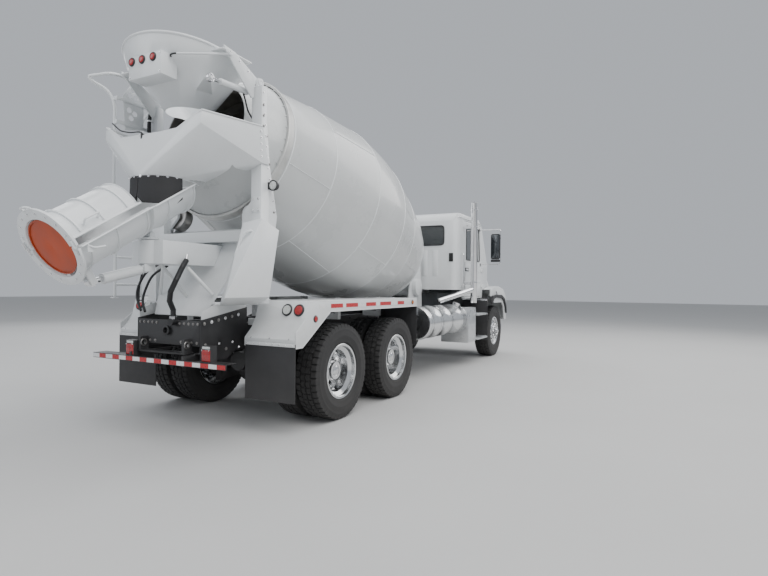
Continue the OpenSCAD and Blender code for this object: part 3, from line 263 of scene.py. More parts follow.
class Piece:
    """Collects shapes in millimetres from the rearmost axle, then becomes one mesh."""

    def __init__(self):
        self.v, self.f, self.m, self.names = [], [], [], []

    def mat(self, name):
        if name not in self.names:
            self.names.append(name)
        return self.names.index(name)

    def add(self, v, f, mat):
        n, k = len(self.v), self.mat(mat)
        self.v += [tuple(p) for p in v]
        self.f += [tuple(i + n for i in q) for q in f]
        self.m += [k] * len(f)

    def box(self, x0, x1, y0, y1, z0, z1, mat, r=0.0):
        """A box; with r, its edges are cut back by r."""
        if r <= 0:
            v = [(x, y, z) for x in (x0, x1) for y in (y0, y1) for z in (z0, z1)]
            self.add(v, [(0, 1, 3, 2), (4, 6, 7, 5), (0, 4, 5, 1), (2, 3, 7, 6), (0, 2, 6, 4), (1, 5, 7, 3)], mat)
            return
        bm = bmesh.new()
        bmesh.ops.create_cube(bm, size=1)
        for p in bm.verts:
            p.co = Vector((x0 + (p.co.x + 0.5) * (x1 - x0), y0 + (p.co.y + 0.5) * (y1 - y0), z0 + (p.co.z + 0.5) * (z1 - z0)))
        bmesh.ops.bevel(bm, geom=bm.edges[:], offset=r, segments=2, profile=0.5, affect="EDGES")
        self.bm(bm, mat)

    def bm(self, bm, mat, matrix=None):
        if matrix is not None:
            bm.transform(matrix)
        bm.verts.ensure_lookup_table()
        bm.verts.index_update()
        self.add([p.co[:] for p in bm.verts], [[q.index for q in f.verts] for f in bm.faces], mat)
        bm.free()

    def cyl(self, a, b, r, mat, n=20, r2=None, cap=True):
        a, b = Vector(a), Vector(b)
        r2 = r if r2 is None else r2
        d = (b - a).normalized()
        u = d.orthogonal().normalized()
        w = d.cross(u)
        v = []
        for c, q in ((a, r), (b, r2)):
            v += [c + (u * math.cos(t) + w * math.sin(t)) * q for t in (2 * math.pi * i / n for i in range(n))]
        f = [(i, (i + 1) % n, n + (i + 1) % n, n + i) for i in range(n)]
        if cap:
            f += [tuple(range(n - 1, -1, -1)), tuple(range(n, 2 * n))]
        self.add(v, f, mat)

    def tube(self, pts, r, mat, n=12, closed=False, smooth=0):
        """A round tube along points, with its bends rounded when smooth is above 0."""
        pts = [Vector(p) for p in pts]
        if smooth:
            out = [pts[0]]
            for a, b, c in zip(pts, pts[1:], pts[2:]):
                d1, d2 = (a - b), (c - b)
                k1, k2 = min(smooth, d1.length * 0.45), min(smooth, d2.length * 0.45)
                p1, p2 = b + d1.normalized() * k1, b + d2.normalized() * k2
                out += [p1 * (1 - t) ** 2 + b * 2 * t * (1 - t) + p2 * t * t for t in (0, 0.25, 0.5, 0.75, 1)]
            pts = out + [pts[-1]]
        u, rings = None, []
        m = len(pts)
        for i, p in enumerate(pts):
            d = (pts[(i + 1) % m] - pts[i - 1]) if closed else (pts[min(i + 1, m - 1)] - pts[max(i - 1, 0)])
            d.normalize()
            u = d.orthogonal() if u is None else u - d * u.dot(d)
            u.normalize()
            w = d.cross(u)
            rings.append([p + (u * math.cos(t) + w * math.sin(t)) * r for t in (2 * math.pi * k / n for k in range(n))])
        v = [q for g in rings for q in g]
        f = []
        for i in range(m if closed else m - 1):
            for k in range(n):
                f.append((i * n + k, i * n + (k + 1) % n, ((i + 1) % m) * n + (k + 1) % n, ((i + 1) % m) * n + k))
        if not closed:
            f += [tuple(range(n - 1, -1, -1)), tuple((m - 1) * n + k for k in range(n))]
        self.add(v, f, mat)

    def plate(self, pts, axis, t0, t1, mat, matrix=None):
        """A flat outline of points, thick from t0 to t1 along axis "x", "y" or "z"."""
        def at(p, t):
            return {"y": (p[0], t, p[1]), "x": (t, p[0], p[1]), "z": (p[0], p[1], t)}[axis]
        bm = bmesh.new()
        lo = [bm.verts.new(at(p, t0)) for p in pts]
        hi = [bm.verts.new(at(p, t1)) for p in pts]
        bm.faces.new(lo)
        bm.faces.new(hi)
        for i in range(len(pts)):
            j = (i + 1) % len(pts)
            bm.faces.new((lo[i], lo[j], hi[j], hi[i]))
        bmesh.ops.recalc_face_normals(bm, faces=bm.faces[:])
        self.bm(bm, mat, matrix)

    def revolve(self, prof, origin, axis, mat, n=48, closed=True, a0=0.0, a1=360.0, up=(1, 0, 0)):
        """prof is [along axis, radius]; turned about axis through origin."""
        o, d = Vector(origin), Vector(axis).normalized()
        u = Vector(up)
        u = (u - d * u.dot(d)).normalized()
        w = d.cross(u)
        full = abs(a1 - a0) >= 359.9
        steps = n if full else n + 1
        v = []
        for i in range(steps):
            t = math.radians(a0 + (a1 - a0) * i / n)
            c = u * math.cos(t) + w * math.sin(t)
            v += [o + d * p[0] + c * p[1] for p in prof]
        k = len(prof)
        f = []
        for i in range(n):
            j = (i + 1) % steps
            for q in range(k if closed else k - 1):
                s = (q + 1) % k
                f.append((i * k + q, i * k + s, j * k + s, j * k + q))
        if not full and closed:
            f += [tuple(range(k - 1, -1, -1)), tuple((steps - 1) * k + q for q in range(k))]
        self.add(v, f, mat)

    def bolt(self, at, d, r=11, h=9, mat="steel", washer=True):
        a, d = Vector(at), Vector(d).normalized()
        if washer:
            self.cyl(a, a + d * 2.5, r * 1.45, mat, 14)
        self.cyl(a + d * 2, a + d * h, r, mat, 6)
        self.cyl(a + d * h, a + d * (h + 3), r * 0.8, mat, 10, r * 0.55)

    def dome(self, at, d, r, h, mat, n=24, rings=5):
        prof = [(h * math.sin(math.pi / 2 * i / rings), r * math.cos(math.pi / 2 * i / rings)) for i in range(rings)] + [(h, 0.01)]
        a = Vector(at)
        self.revolve([(0, 0.01)] + prof, a, d, mat, n, closed=False, up=Vector(d).orthogonal())

    def lamp(self, at, d, r, lens, body="plastic", depth=14):
        """A round lamp: rubber grommet and a domed lens with rings."""
        a, d = Vector(at), Vector(d).normalized()
        u = d.orthogonal()
        self.revolve([(0, r * 0.8), (depth * 0.6, r * 0.86), (depth * 0.9, r), (depth * 0.5, r * 1.16), (0, r * 1.2)], a, d, body, 36, up=u)
        prof = [(depth * 0.55, r * 0.9), (depth * 0.85, r * 0.86), (depth * 1.0, r * 0.72), (depth * 0.94, r * 0.66), (depth * 1.08, r * 0.5), (depth * 1.02, r * 0.42), (depth * 1.14, r * 0.2), (depth * 1.12, 0.01)]
        self.revolve(prof, a, d, lens, 36, closed=False, up=u)

    def make(self, name, body, nodes=(), angle=32, main=None):
        me = bpy.data.meshes.new(name)
        me.from_pydata([P(*p) for p in self.v], [], self.f)
        for n in self.names:
            me.materials.append(MAT[n])
        me.polygons.foreach_set("material_index", self.m)
        me.update()
        bm = bmesh.new()
        bm.from_mesh(me)
        bmesh.ops.recalc_face_normals(bm, faces=bm.faces[:])
        bm.to_mesh(me)
        bm.free()
        set_smooth(me, angle)
        return link(name, me, body, nodes)


def body_of(node):
    for b, ns in frame["record"]["behaviour"]["bodies"].items():
        if node in ns:
            return b
    return "root"


def rounded(node, width, mat, segments=2, angle=34, name=None, keep=None):
    """The CAD node's own shape with its sharp edges rounded, as a new piece that stands for it."""
    me = NODES[node].data.copy()
    bm = bmesh.new()
    bm.from_mesh(me)
    bmesh.ops.remove_doubles(bm, verts=bm.verts[:], dist=2e-6)
    if width > 0:
        bmesh.ops.dissolve_limit(bm, angle_limit=math.radians(1.0), verts=bm.verts[:], edges=bm.edges[:])
    bm.to_mesh(me)
    bm.free()
    me.materials.clear()
    me.materials.append(MAT[mat])
    if width > 0:
        ob = bpy.data.objects.new("tmp", me)
        bpy.context.scene.collection.objects.link(ob)
        mod = ob.modifiers.new("b", "BEVEL")
        mod.limit_method = "ANGLE"
        mod.angle_limit = math.radians(angle)
        mod.width = width / 1000
        mod.segments = segments
        mod.use_clamp_overlap = True
        dg = bpy.context.evaluated_depsgraph_get()
        me = bpy.data.meshes.new_from_object(ob.evaluated_get(dg))
        bpy.data.objects.remove(ob)
    for p in me.polygons:
        p.material_index = 0
    set_smooth(me, 32)
    me.name = (name or node) + "_visual"
    return link(me.name, me, body_of(node), (node,))


# ------------------------------------------------------------------ tyres
def tyre_mesh(piece, cx, cy, cz, r, w, hw, rim, blocks=46, lug=True):
    """A tyre with grooves and blocks, turned about Y."""
    fr = [0.0, 0.03, 0.24, 0.27, 0.50, 0.53, 0.64, 0.67]
    ys = [0.42, 0.38, 0.31, 0.245, 0.236, 0.196, 0.187, 0.10, 0.024, 0.016]
    cols = []
    side = [(rim - 14, hw - 6), (rim + 2, hw + 2), (rim + 14, w * 0.445), (rim + 22, w * 0.462), (rim + 30, w * 0.462), (rim + 44, w * 0.478), (rim + 75, w * 0.492), (rim + 82, w * 0.500), (rim + 90, w * 0.500),
            (rim + 97, w * 0.495), (rim + 130, w * 0.496), (r - 82, w * 0.487), (r - 74, w * 0.492), (r - 62, w * 0.488), (r - 54, w * 0.474), (r - 30, w * 0.461), (r - 9, w * 0.445)]
    for s in (-1, 1):
        seq = [("side", p[0], s * p[1]) for p in side]
        tr = [("tread", y, s * y * w) for y in ys]
        part = seq + tr
        cols.append(part if s < 0 else part[::-1])
    cols = cols[0] + cols[1]
    k, n = len(cols), blocks * len(fr)
    v = []
    for i in range(blocks):
        for q, t in enumerate(fr):
            ang = 2 * math.pi * (i + t) / blocks
            c, s = math.cos(ang), math.sin(ang)
            zig = (4.0 if q < 4 else -4.0)
            for kind, a, y in cols:
                if kind == "side":
                    rr = a
                    if a > r - 34 and q in (1, 2):
                        rr = a - (9 if a > r - 12 else 5)
                        y *= 0.985
                else:
                    crown = r - 7 * (a / 0.42) ** 4
                    rr = crown
                    groove = 0.19 < a < 0.24 or a < 0.02
                    if groove:
                        rr = crown - 15
                    elif a >= 0.24 and q in (1, 2):
                        rr = crown - 12
                    elif a < 0.19 and q in (5, 6):
                        rr = crown - 9
                    if 0.18 < a < 0.25 or a < 0.03:
                        y += zig
                v.append((cx + rr * c, cy + y, cz + rr * s))
    f = []
    for i in range(n):
        j = (i + 1) % n
        for q in range(k - 1):
            f.append((i * k + q, i * k + q + 1, j * k + q + 1, j * k + q))
        f.append((i * k + k - 1, i * k, j * k, j * k + k - 1))
    piece.add(v, f, "tyre")


def wheels():
    for s, side in ((LEFT, "left"), (RIGHT, "right")):
        for x, nm in ((1370, "middle"), (0, "rear")):
            p = Piece()
            for y in (755, 1080):
                tyre_mesh(p, x, s * y, 525, 525, 280, 105, 302)
            p.make(f"{nm}_tyres_{side}_tread", f"{nm}_wheels_{side}", (f"{nm}_tyres_{side}",), angle=24)
        p = Piece()
        tyre_mesh(p, 6380, s * 980, 540, 540, 320, 122, 302, blocks=44)
        p.make(f"front_tyre_{side}_tread", f"front_wheel_{side}", (f"front_tyre_{side}",), angle=24)
        # nuts, hub caps and valves
        for x, cz, ynut, ring, body, face in ((1370, 525, 975, 143, f"middle_wheels_{side}", 1120), (0, 525, 975, 143, f"rear_wheels_{side}", 1120), (6380, 540, 1135, 143, f"front_wheel_{side}", 1185)):
            h = Piece()
            d = (0, s, 0)
            for i in range(10):
                a = 2 * math.pi * (i + 0.5) / 10
                at = (x + ring * math.sin(a), s * (ynut - 30), cz + ring * math.cos(a))
                h.cyl(at, (at[0], s * (ynut - 2), at[2]), 21, "steel", 6)
                h.dome((at[0], s * (ynut - 2), at[2]), d, 19, 20, "steel", 12, 3)
            # flange ring and bolts on the axle's cap
            u = (1, 0, 0)
            h.revolve([(0, 80), (0, 104), (8, 104), (12, 98), (12, 80)], (x, s * (face - 46 if x < 6000 else face - 22), cz), d, "alu", 40, up=u)
            for i in range(8):
                a = 2 * math.pi * i / 8
                h.bolt((x + 90 * math.sin(a), s * (face - 36 if x < 6000 else face - 12), cz + 90 * math.cos(a)), d, 7, 7, "steel", False)
            h.dome((x, s * (face if x < 6000 else face), cz), d, 60, 22, "alu", 32, 5)
            # valve stem
            a = 0.5
            v0 = (x + 232 * math.sin(a), s * (ynut - 60), cz + 232 * math.cos(a))
            h.cyl(v0, (v0[0] + 12, s * (ynut - 5), v0[2] + 20), 5, "steel", 10)
            h.make(f"{body}_nuts", body, angle=30)


wheels()


# ------------------------------------------------------------------ drum
def drum():
    ca, sa = math.cos(math.radians(15)), math.sin(math.radians(15))
    axis = Vector((-ca, 0, sa))
    o = Vector((2000, 0, 2315))
    outline = [(-1660, 260), (-1600, 500), (-1480, 640), (-1300, 742), (-1100, 838), (-850, 925), (-300, 1030), (290, 1136), (560, 1157), (700, 1160), (860, 1158), (1093, 1150), (1892, 990), (2500, 836), (2640, 790), (2980, 560)]
    fine = []
    for (a, b), (c, d) in zip(outline, outline[1:]):
        k = max(1, round(abs(c - a) / 90))
        fine += [(a + (c - a) * i / k, b + (d - b) * i / k) for i in range(k)]
    fine.append(outline[-1])

    def rad(s):
        for (a, b), (c, d) in zip(outline, outline[1:]):
            if a <= s <= c:
                return b + (d - b) * (s - a) / (c - a)
        return outline[-1][1]

    p = Piece()
    up = (sa, 0, ca)
    p.revolve([(-1660, 0.01), (-1660, 120), (-1664, 124), (-1664, 200), (-1660, 204)] + fine + [(2986, 556), (2986, 548), (2980, 546)], o, axis, "drum", 160, closed=False, up=up)
    inner = [(a, b - 12) for a, b in outline if a > 1500]
    inner = [(1500, rad(1500) - 12)] + inner
    inner.append((2982, 547))
    p.revolve(inner[::-1], o, axis, "drum_in", 96, closed=False, up=up)
    p.revolve([(1500, 0.01), (1500, rad(1500) - 12)], o, axis, "drum_in", 96, closed=False, up=up)
    # weld seams: [place along the axis], and lengthwise seams [from, to, turn in degrees]
    for s in (-1480, -1100, -300, 290, 1093, 1892, 2500):
        r = rad(s)
        p.revolve([(s - 9, r - 1), (s - 5, r + 3.0), (s, r + 4.2), (s + 5, r + 3.0), (s + 9, r - 1)], o, axis, "white", 160, up=up)
    u0 = Vector(up)
    w0 = axis.cross(u0)
    for a, b, turn in ((-1480, -1100, 20), (-1100, -300, 65), (-300, 290, 10), (290, 1093, 55), (1093, 1892, 30), (1892, 2500, 75)):
        for k in range(4):
            t = math.radians(turn + 90 * k)
            c = u0 * math.cos(t) + w0 * math.sin(t)
            p.tube([o + axis * (a + (b - a) * i / 4) + c * (rad(a + (b - a) * i / 4) + 0.6) for i in range(5)], 4.4, "white", 6)
    # two spiral blades seen in the mouth
    for k in range(2):
        v, f = [], []
        n = 72
        for i in range(n + 1):
            s = 1650 + 1310 * i / n
            t = math.radians(180 * k + 1.15 * (s - 1650) / 1310 * 360)
            c = u0 * math.cos(t) + w0 * math.sin(t)
            r = rad(s) - 14
            h = 210 - 90 * i / n
            for q, (rr, ds) in enumerate(((r, 0), (r - h, 26), (r - h, 34), (r, 8))):
                v.append(o + axis * min(2972, s + ds) + c * rr)
        for i in range(n):
            for q in range(4):
                f.append((4 * i + q, 4 * i + (q + 1) % 4, 4 * i + 4 + (q + 1) % 4, 4 * i + 4 + q))
        p.add(v, f, "drum_in")
    # bolted hatch on the largest section
    t = math.radians(20)
    c = u0 * math.cos(t) + w0 * math.sin(t)
    tang = axis.cross(c)
    base = o + axis * 690 + c * 1158
    bm = bmesh.new()
    m = 20
    ring0 = [bm.verts.new(base + axis * 250 * math.copysign(abs(math.cos(q)) ** 0.6, math.cos(q)) + tang * 170 * math.copysign(abs(math.sin(q)) ** 0.6, math.sin(q)) - c * 18) for q in (2 * math.pi * i / m for i in range(m))]
    ring1 = [bm.verts.new(x.co + c * 22) for x in ring0]
    ring2 = [bm.verts.new(base + (x.co - base) * 0.93 + c * 7) for x in ring0]
    bm.faces.new(ring2)
    for i in range(m):
        j = (i + 1) % m
        bm.faces.new((ring0[i], ring0[j], ring1[j], ring1[i]))
        bm.faces.new((ring1[i], ring1[j], ring2[j], ring2[i]))
    p.bm(bm, "drum")
    for sx, sy in ((-1, -1), (-1, 1), (1, -1), (1, 1)):
        p.bolt(base + axis * sx * 190 + tang * sy * 110 + c * 2, c, 14, 12, "worn")
    p.make("drum_skin", "drum", ("drum_shell",), angle=26, main="drum")
    # roller track with its gussets
    q = Piece()
    q.revolve([(2525, 812), (2525, 834), (2531, 840), (2609, 840), (2615, 834), (2615, 812)], o, axis, "ring", 160, up=up)
    q.make("drum_track_ring", "drum", ("drum_track",), angle=30, main="ring")
    g = Piece()
    for k in range(36):
        t = 2 * math.pi * k / 36
        c = u0 * math.cos(t) + w0 * math.sin(t)
        tg = axis.cross(c) * 4
        for s0, s1 in ((2490, 2526), (2614, 2650)):
            a, b = (s0, s1) if s0 < 2500 else (s1, s0)
            rr = rad(a) - 2
            tri = [o + axis * a + c * rr, o + axis * b + c * (rad(b) - 2), o + axis * b + c * 812]
            v = [x + tg for x in tri] + [x - tg for x in tri]
            g.add(v, [(0, 1, 2), (5, 4, 3), (0, 3, 4, 1), (1, 4, 5, 2), (2, 5, 3, 0)], "drum")
    g.make("drum_track_gussets", "drum", angle=30)


drum()

# ------------------------------------------------------------------ nodes kept as they are in shape, with rounded edges
# [node, edge radius in mm, material]
for node, width, mat in [
        ("chassis_frame", 4, "black"), ("front_bumper", 14, "steel"), ("engine_block", 12, "cast"), ("front_axle_beam", 8, "black"), ("rear_axles", 5, "black"), ("suspension", 6, "black"),
        ("cab_interior", 26, "fabric"), ("knuckle_left", 4, "black"), ("knuckle_right", 4, "black"),
        ("fuel_tank", 5, "alu"), ("water_tank", 10, "white"), ("cab_steps", 6, "alu_tread"), ("rear_fenders", 2, "white"),
        ("rubber_flaps", 2, "flap"), ("light_bar", 2.5, "black"), ("front_pedestal", 3, "white"), ("drum_gearbox", 8, "cast"), ("rear_pedestal", 4, "white"),
        ("roller_left", 6, "worn"), ("roller_right", 6, "worn"), ("collector", 2, "white"), ("charge_hopper", 2, "white"),
        ("hopper_ram_barrel", 2, "white"), ("hopper_ram_rod", 1, "steel"), ("chute_arm", 6, "white"), ("chute_swivel", 3, "white"),
        ("lift_ram_barrel", 3, "white"), ("lift_ram_rod", 1, "steel"), ("hydraulic_hoses", 0, "hose"), ("exhaust_stack", 2, "steel")]:
    rounded(node, width, mat)
for node in ("middle_rims_left", "middle_rims_right", "rear_rims_left", "rear_rims_right", "front_rim_left", "front_rim_right"):
    rounded(node, 0, "alu")
rounded("steering_wheel", 0, "plastic")

# ------------------------------------------------------------------ cab, doors, mirrors
def ring_path(pts, n=5, r=60):
    """Closed outline of points with rounded corners."""
    out, m = [], len(pts)
    for i in range(m):
        a, b, c = Vector(pts[i - 1]), Vector(pts[i]), Vector(pts[(i + 1) % m])
        d1, d2 = (a - b), (c - b)
        k1, k2 = min(r, d1.length * 0.45), min(r, d2.length * 0.45)
        p1, p2 = b + d1.normalized() * k1, b + d2.normalized() * k2
        out += [p1 * (1 - t) ** 2 + b * 2 * t * (1 - t) + p2 * t * t for t in (k / n for k in range(n + 1))]
    return out


def cab():
    rounded("cab_shell", 16, "white", 3)
    rounded("cab_glass", 0, "glass")
    p = Piece()
    # gaskets of the rear window and the windscreen
    p.tube(ring_path([(4106, -806, 2234), (4106, 806, 2234), (4106, 806, 2586), (4106, -806, 2586)], 5, 70), 11, "plastic", 8, closed=True)
    ws = [(6084 + 6, -884, 2016), (6090, 884, 2016), (5712, 884, 2686), (5712, -884, 2686)]
    p.tube(ring_path(ws, 5, 60), 11, "plastic", 8, closed=True)
    # wipers on the windscreen
    for y in (-420, 330):
        p.tube([(6104, y, 1990), (6062, y + 120, 2090), (5960, y + 330, 2270)], 7, "plastic", 8)
        p.tube([(6010, y + 160, 2150 + 40), (5900, y + 420, 2385)], 8, "plastic", 6)
    # drip rails over the doors
    for s in (1, -1):
        p.tube([(4230, s * 1022, 2740), (4300, s * 1024, 2762), (5560, s * 1024, 2762), (5680, s * 1023, 2705)], 9, "white", 8)
    # air louvre in the rear wall
    p.box(4100, 4112, -985, -905, 1930, 2085, "plastic", 8)
    for k in range(6):
        p.box(4094, 4104, -978, -912, 1945 + k * 22, 1953 + k * 22, "plastic")
    p.make("cab_trim", "root", angle=40)
    # pressed ribs of the rear wall and roof, seams
    q = Piece()
    for y in (-640, -430, -220, 0, 220, 430, 640):
        bm = bmesh.new()
        lo = [bm.verts.new((4112, y + a, z)) for a, z in ((-58, 1660), (58, 1660), (58, 2150), (-58, 2150))]
        hi = [bm.verts.new((4099, y + a, z)) for a, z in ((-40, 1685), (40, 1685), (40, 2125), (-40, 2125))]
        bm.faces.new(hi)
        for i in range(4):
            j = (i + 1) % 4
            bm.faces.new((lo[i], lo[j], hi[j], hi[i]))
        bmesh.ops.bevel(bm, geom=[e for e in bm.edges if len(e.link_faces) == 2], offset=5, segments=2, affect="EDGES")
        q.bm(bm, "white")
    for x0 in (4480, 4900, 5320):
        q.box(x0, x0 + 60, -760, 760, 2828, 2838, "white", 3)
    # marker lamps on the roof
    q.make("cab_ribs", "root", angle=38)
    m = Piece()
    for y in (-760, -250, 0, 250, 760):
        m.box(5380, 5470, y - 48, y + 48, 2826, 2840, "white", 4)
        bm = bmesh.new()
        bmesh.ops.create_cube(bm, size=1)
        for v in bm.verts:
            top = v.co.z > 0
            v.co = Vector((5430 + v.co.x * (46 if top else 74), y + v.co.y * (54 if top else 78), 2838 if not top else 2872))
        bmesh.ops.bevel(bm, geom=bm.edges[:], offset=7, segments=3, affect="EDGES")
        m.bm(bm, "amber")
    m.make("roof_markers", "root", angle=40, main="amber")
    for s, side in ((LEFT, "left"), (RIGHT, "right")):
        rounded(f"door_{side}", 9, "white", 2)
        rounded(f"door_glass_{side}", 0, "glass")
        d = Piece()
        y = s * 1022
        win = [(4720, y, 1990), (5580, y, 1990), (5510, y, 2640), (4720, y, 2640)]
        d.tube(ring_path(win, 5, 60), 9, "plastic", 8, closed=True)
        # handle on its plate, step plate and grab handle
        d.box(4690, 4880, *(sorted((s * 1019, s * 1030))), 1775, 1840, "plastic", 4)
        d.tube([(4705, s * 1026, 1808), (4715, s * 1044, 1808), (4855, s * 1044, 1808), (4865, s * 1026, 1808)], 7, "steel", 10, smooth=10)
        d.tube([(4665, s * 1022, 1330), (4665, s * 1022, 1955)], 4, "plastic", 6)
        # pressed line along the door
        d.box(4660, 5670, *(sorted((s * 1019, s * 1025))), 1560, 1584, "white", 2.5)
        d.make(f"door_{side}_trim", f"door_{side}", angle=40)
        # mirror: housings with glass, on a tube frame
        mr = Piece()
        for z0, z1, hw in ((2035, 2555, 100), (1984, 2036, 95)):
            bm = bmesh.new()
            bmesh.ops.create_cube(bm, size=1)
            for v in bm.verts:
                f = v.co.x > 0
                k = 0.82 if f else 1.0
                v.co = Vector((5600 + v.co.x * 70, s * 1350 + v.co.y * 2 * hw * k, (z0 + z1) / 2 + v.co.z * (z1 - z0) * (0.9 if f else 1)))
            bmesh.ops.bevel(bm, geom=bm.edges[:], offset=16 if hw > 96 else 8, segments=3, affect="EDGES")
            mr.bm(bm, "plastic")
        mr.box(5561.5, 5566, s * 1350 - 82, s * 1350 + 82, 2060, 2530, "mirror", 1.5)
        mr.tube([(5562, s * 1026, 2640), (5622, s * 1300, 2640), (5622, s * 1420, 2640), (5622, s * 1440, 2620), (5622, s * 1440, 1960), (5622, s * 1420, 1940), (5622, s * 1030, 1930)], 9, "steel", 12, smooth=25)
        for z in (2612, 1905):
            x0 = 5532 if z > 2000 else 5600
            mr.box(x0, x0 + 60, *(sorted((s * 1020, s * 1031))), z, z + 54, "plastic", 4)
            mr.bolt((x0 + 15, s * 1030, z + 12), (0, s, 0), 6, 5)
            mr.bolt((x0 + 45, s * 1030, z + 42), (0, s, 0), 6, 5)
        for z in (2450, 2130):
            mr.box(5606, 5634, *(sorted((s * 1340, s * 1446))), z, z + 30, "plastic", 4)
        mr.make(f"mirror_{side}_head", f"door_{side}", (f"mirror_{side}",), angle=38, main="plastic")


cab()


# ------------------------------------------------------------------ hood, grille and lamps
def hood():
    rounded("hood", 26, "white", 3, 30)
    p = Piece()
    # grille: surround, bars and mesh behind them
    f = 7060
    p.tube(ring_path([(f + 2, -478, 806), (f + 2, 478, 806), (f + 2, 478, 1374), (f + 2, -478, 1374)], 5, 50), 13, "steel", 10, closed=True)
    for i in range(9):
        z = 836 + i * 63
        p.plate([(f - 34, z), (f - 8, z + 8), (f - 8, z + 16), (f - 34, z + 10)], "y", -474, 474, "steel")
    for y in (-320, -160, 0, 160, 320):
        p.box(f - 40, f - 30, y - 5, y + 5, 808, 1372, "plastic")
    p.box(f - 48, f - 42, -474, 474, 806, 1374, "plastic")
    for s in (1, -1):
        # headlamp: housing, bezel, two lenses
        y0, y1 = s * 850 - 150, s * 850 + 150
        p.box(f - 1, f + 8, y0, y1, 896, 1084, "plastic", 4)
        p.tube(ring_path([(f + 8, y0 + 8, 904), (f + 8, y1 - 8, 904), (f + 8, y1 - 8, 1076), (f + 8, y0 + 8, 1076)], 4, 40), 7, "steel", 8, closed=True)
        for dy in (-66, 66):
            p.lamp((f + 4, s * 850 + dy, 990), (1, 0, 0), 54, "clear", "steel", 12)
        p.lamp((f - 20, s * 1090, 1010), (1, 0, 0), 48, "amber", "plastic", 12)
        # catches of the hood
        p.tube([(6190, s * 1206, 1390), (6190, s * 1222, 1350), (6190, s * 1222, 1310), (6190, s * 1206, 1270)], 9, "plastic", 8)
    # rubber flares round the wheel arches
    for s in (1, -1):
        out = [(5790, 1130), (5850, 1300), (6000, 1310), (6150, 1320), (6600, 1310), (6830, 1230), (6960, 1060), (6990, 900), (6950, 900), (6900, 1040), (6780, 1180), (6600, 1240), (6150, 1260), (5960, 1230), (5850, 1130)]
        bm = bmesh.new()
        y0, y1 = s * 1200, s * 1238
        lo = [bm.verts.new((a, y0, b)) for a, b in out]
        hi = [bm.verts.new((a, y1, b)) for a, b in out]
        bm.faces.new(lo)
        bm.faces.new(hi)
        for i in range(len(out)):
            j = (i + 1) % len(out)
            bm.faces.new((lo[i], lo[j], hi[j], hi[i]))
        bmesh.ops.recalc_face_normals(bm, faces=bm.faces[:])
        bmesh.ops.bevel(bm, geom=[e for e in bm.edges if len(e.link_faces) == 2 and e.calc_face_angle(0) > 0.6], offset=9, segments=3, affect="EDGES")
        p.bm(bm, "plastic")
    p.make("hood_grille_lamps", "hood", ("hood_trim",), angle=38, main="plastic")
    h = Piece()
    # pressed centre line and air intakes on the hood's top
    for s in (1, -1):
        h.tube([(6170, s * 560, 1938), (6890, s * 520, 1630), (7000, s * 500, 1543)], 9, "white", 8)
        h.box(6240, 6420, s * 800 - 7 if s > 0 else -806, s * 800 + 6 if s > 0 else -793, 1600, 1760, "plastic", 4)
        for k in range(5):
            h.box(6250, 6410, s * 803 - 6, s * 803 + 6, 1616 + k * 28, 1626 + k * 28, "steel", 1)
    h.make("hood_intakes", "hood", angle=38)


hood()


# ------------------------------------------------------------------ rear fenders: lamps, tape, bolts
def fenders():
    p = Piece()
    n = Vector((-0.963, 0, 0.268))
    for s in (1, -1):
        for y, lens in ((1006, "clear"), (1150, "red")):
            at = Vector((-730, s * y, 1215)) + n * 1
            p.lamp(at, n, 52, lens, "plastic", 16)
        # marker on the side panel, amber at the front
        p.lamp((-594, s * 1250, 1128), (0, s, 0), 30, "red", "plastic", 12)
        p.lamp((1750, s * 1250, 1250), (0, s, 0), 26, "amber", "plastic", 12)
        # reflecting tape on the side: [from, to]
        for x0, x1, tape in ((-520, -420, "tape_white"), (-314, -76, "tape_red"), (-76, -14, "tape_white"), (-14, 247, "tape_red"), (247, 433, "tape_white"), (433, 681, "tape_red"),
                             (681, 785, "tape_white"), (785, 1087, "tape_red"), (1087, 1278, "tape_white"), (1278, 1478, "tape_red")):
            p.box(x0, x1, *sorted((s * 1249.6, s * 1251.2)), 1228, 1272, tape)
        # bolts along the ledge, the flap's top, the tray and the supports
        for k in range(8):
            y = s * (670 + k * 78)
            p.bolt((-924, y, 890), (-1, 0, 0), 7, 5)
        for k in range(3):
            p.bolt((-908 + k * 0.1, s * (700 + k * 230), 941 + 2), (-0.68, 0, 0.73), 7, 5)
        for x in (-620, 730, 1830):
            for dy in (690, 650):
                p.bolt((x, s * dy, 1304), (0, 0, 1), 9, 7)
        # rolled edge of the tray
        p.tube([(-700, s * 1246, 1303), (1900, s * 1246, 1303)], 6, "white", 8)
        p.tube([(-912, s * 1248, 861), (-806, s * 1248, 861), (-318, s * 1248, 1191), (1902, s * 1248, 1191)], 5, "white", 8)
        # strip that holds the flap, clamp bars of the others
        p.box(-927, -922, *sorted((s * 645, s * 1245)), 872, 904, "white", 1.5)
        p.box(1914, 1919, *sorted((s * 650, s * 1240)), 1215, 1250, "steel", 1.5)
        p.box(5634, 5641, *sorted((s * 650, s * 1175)), 1200, 1235, "steel", 1.5)
    p.make("fender_lamps_and_bolts", "root", angle=38)


fenders()


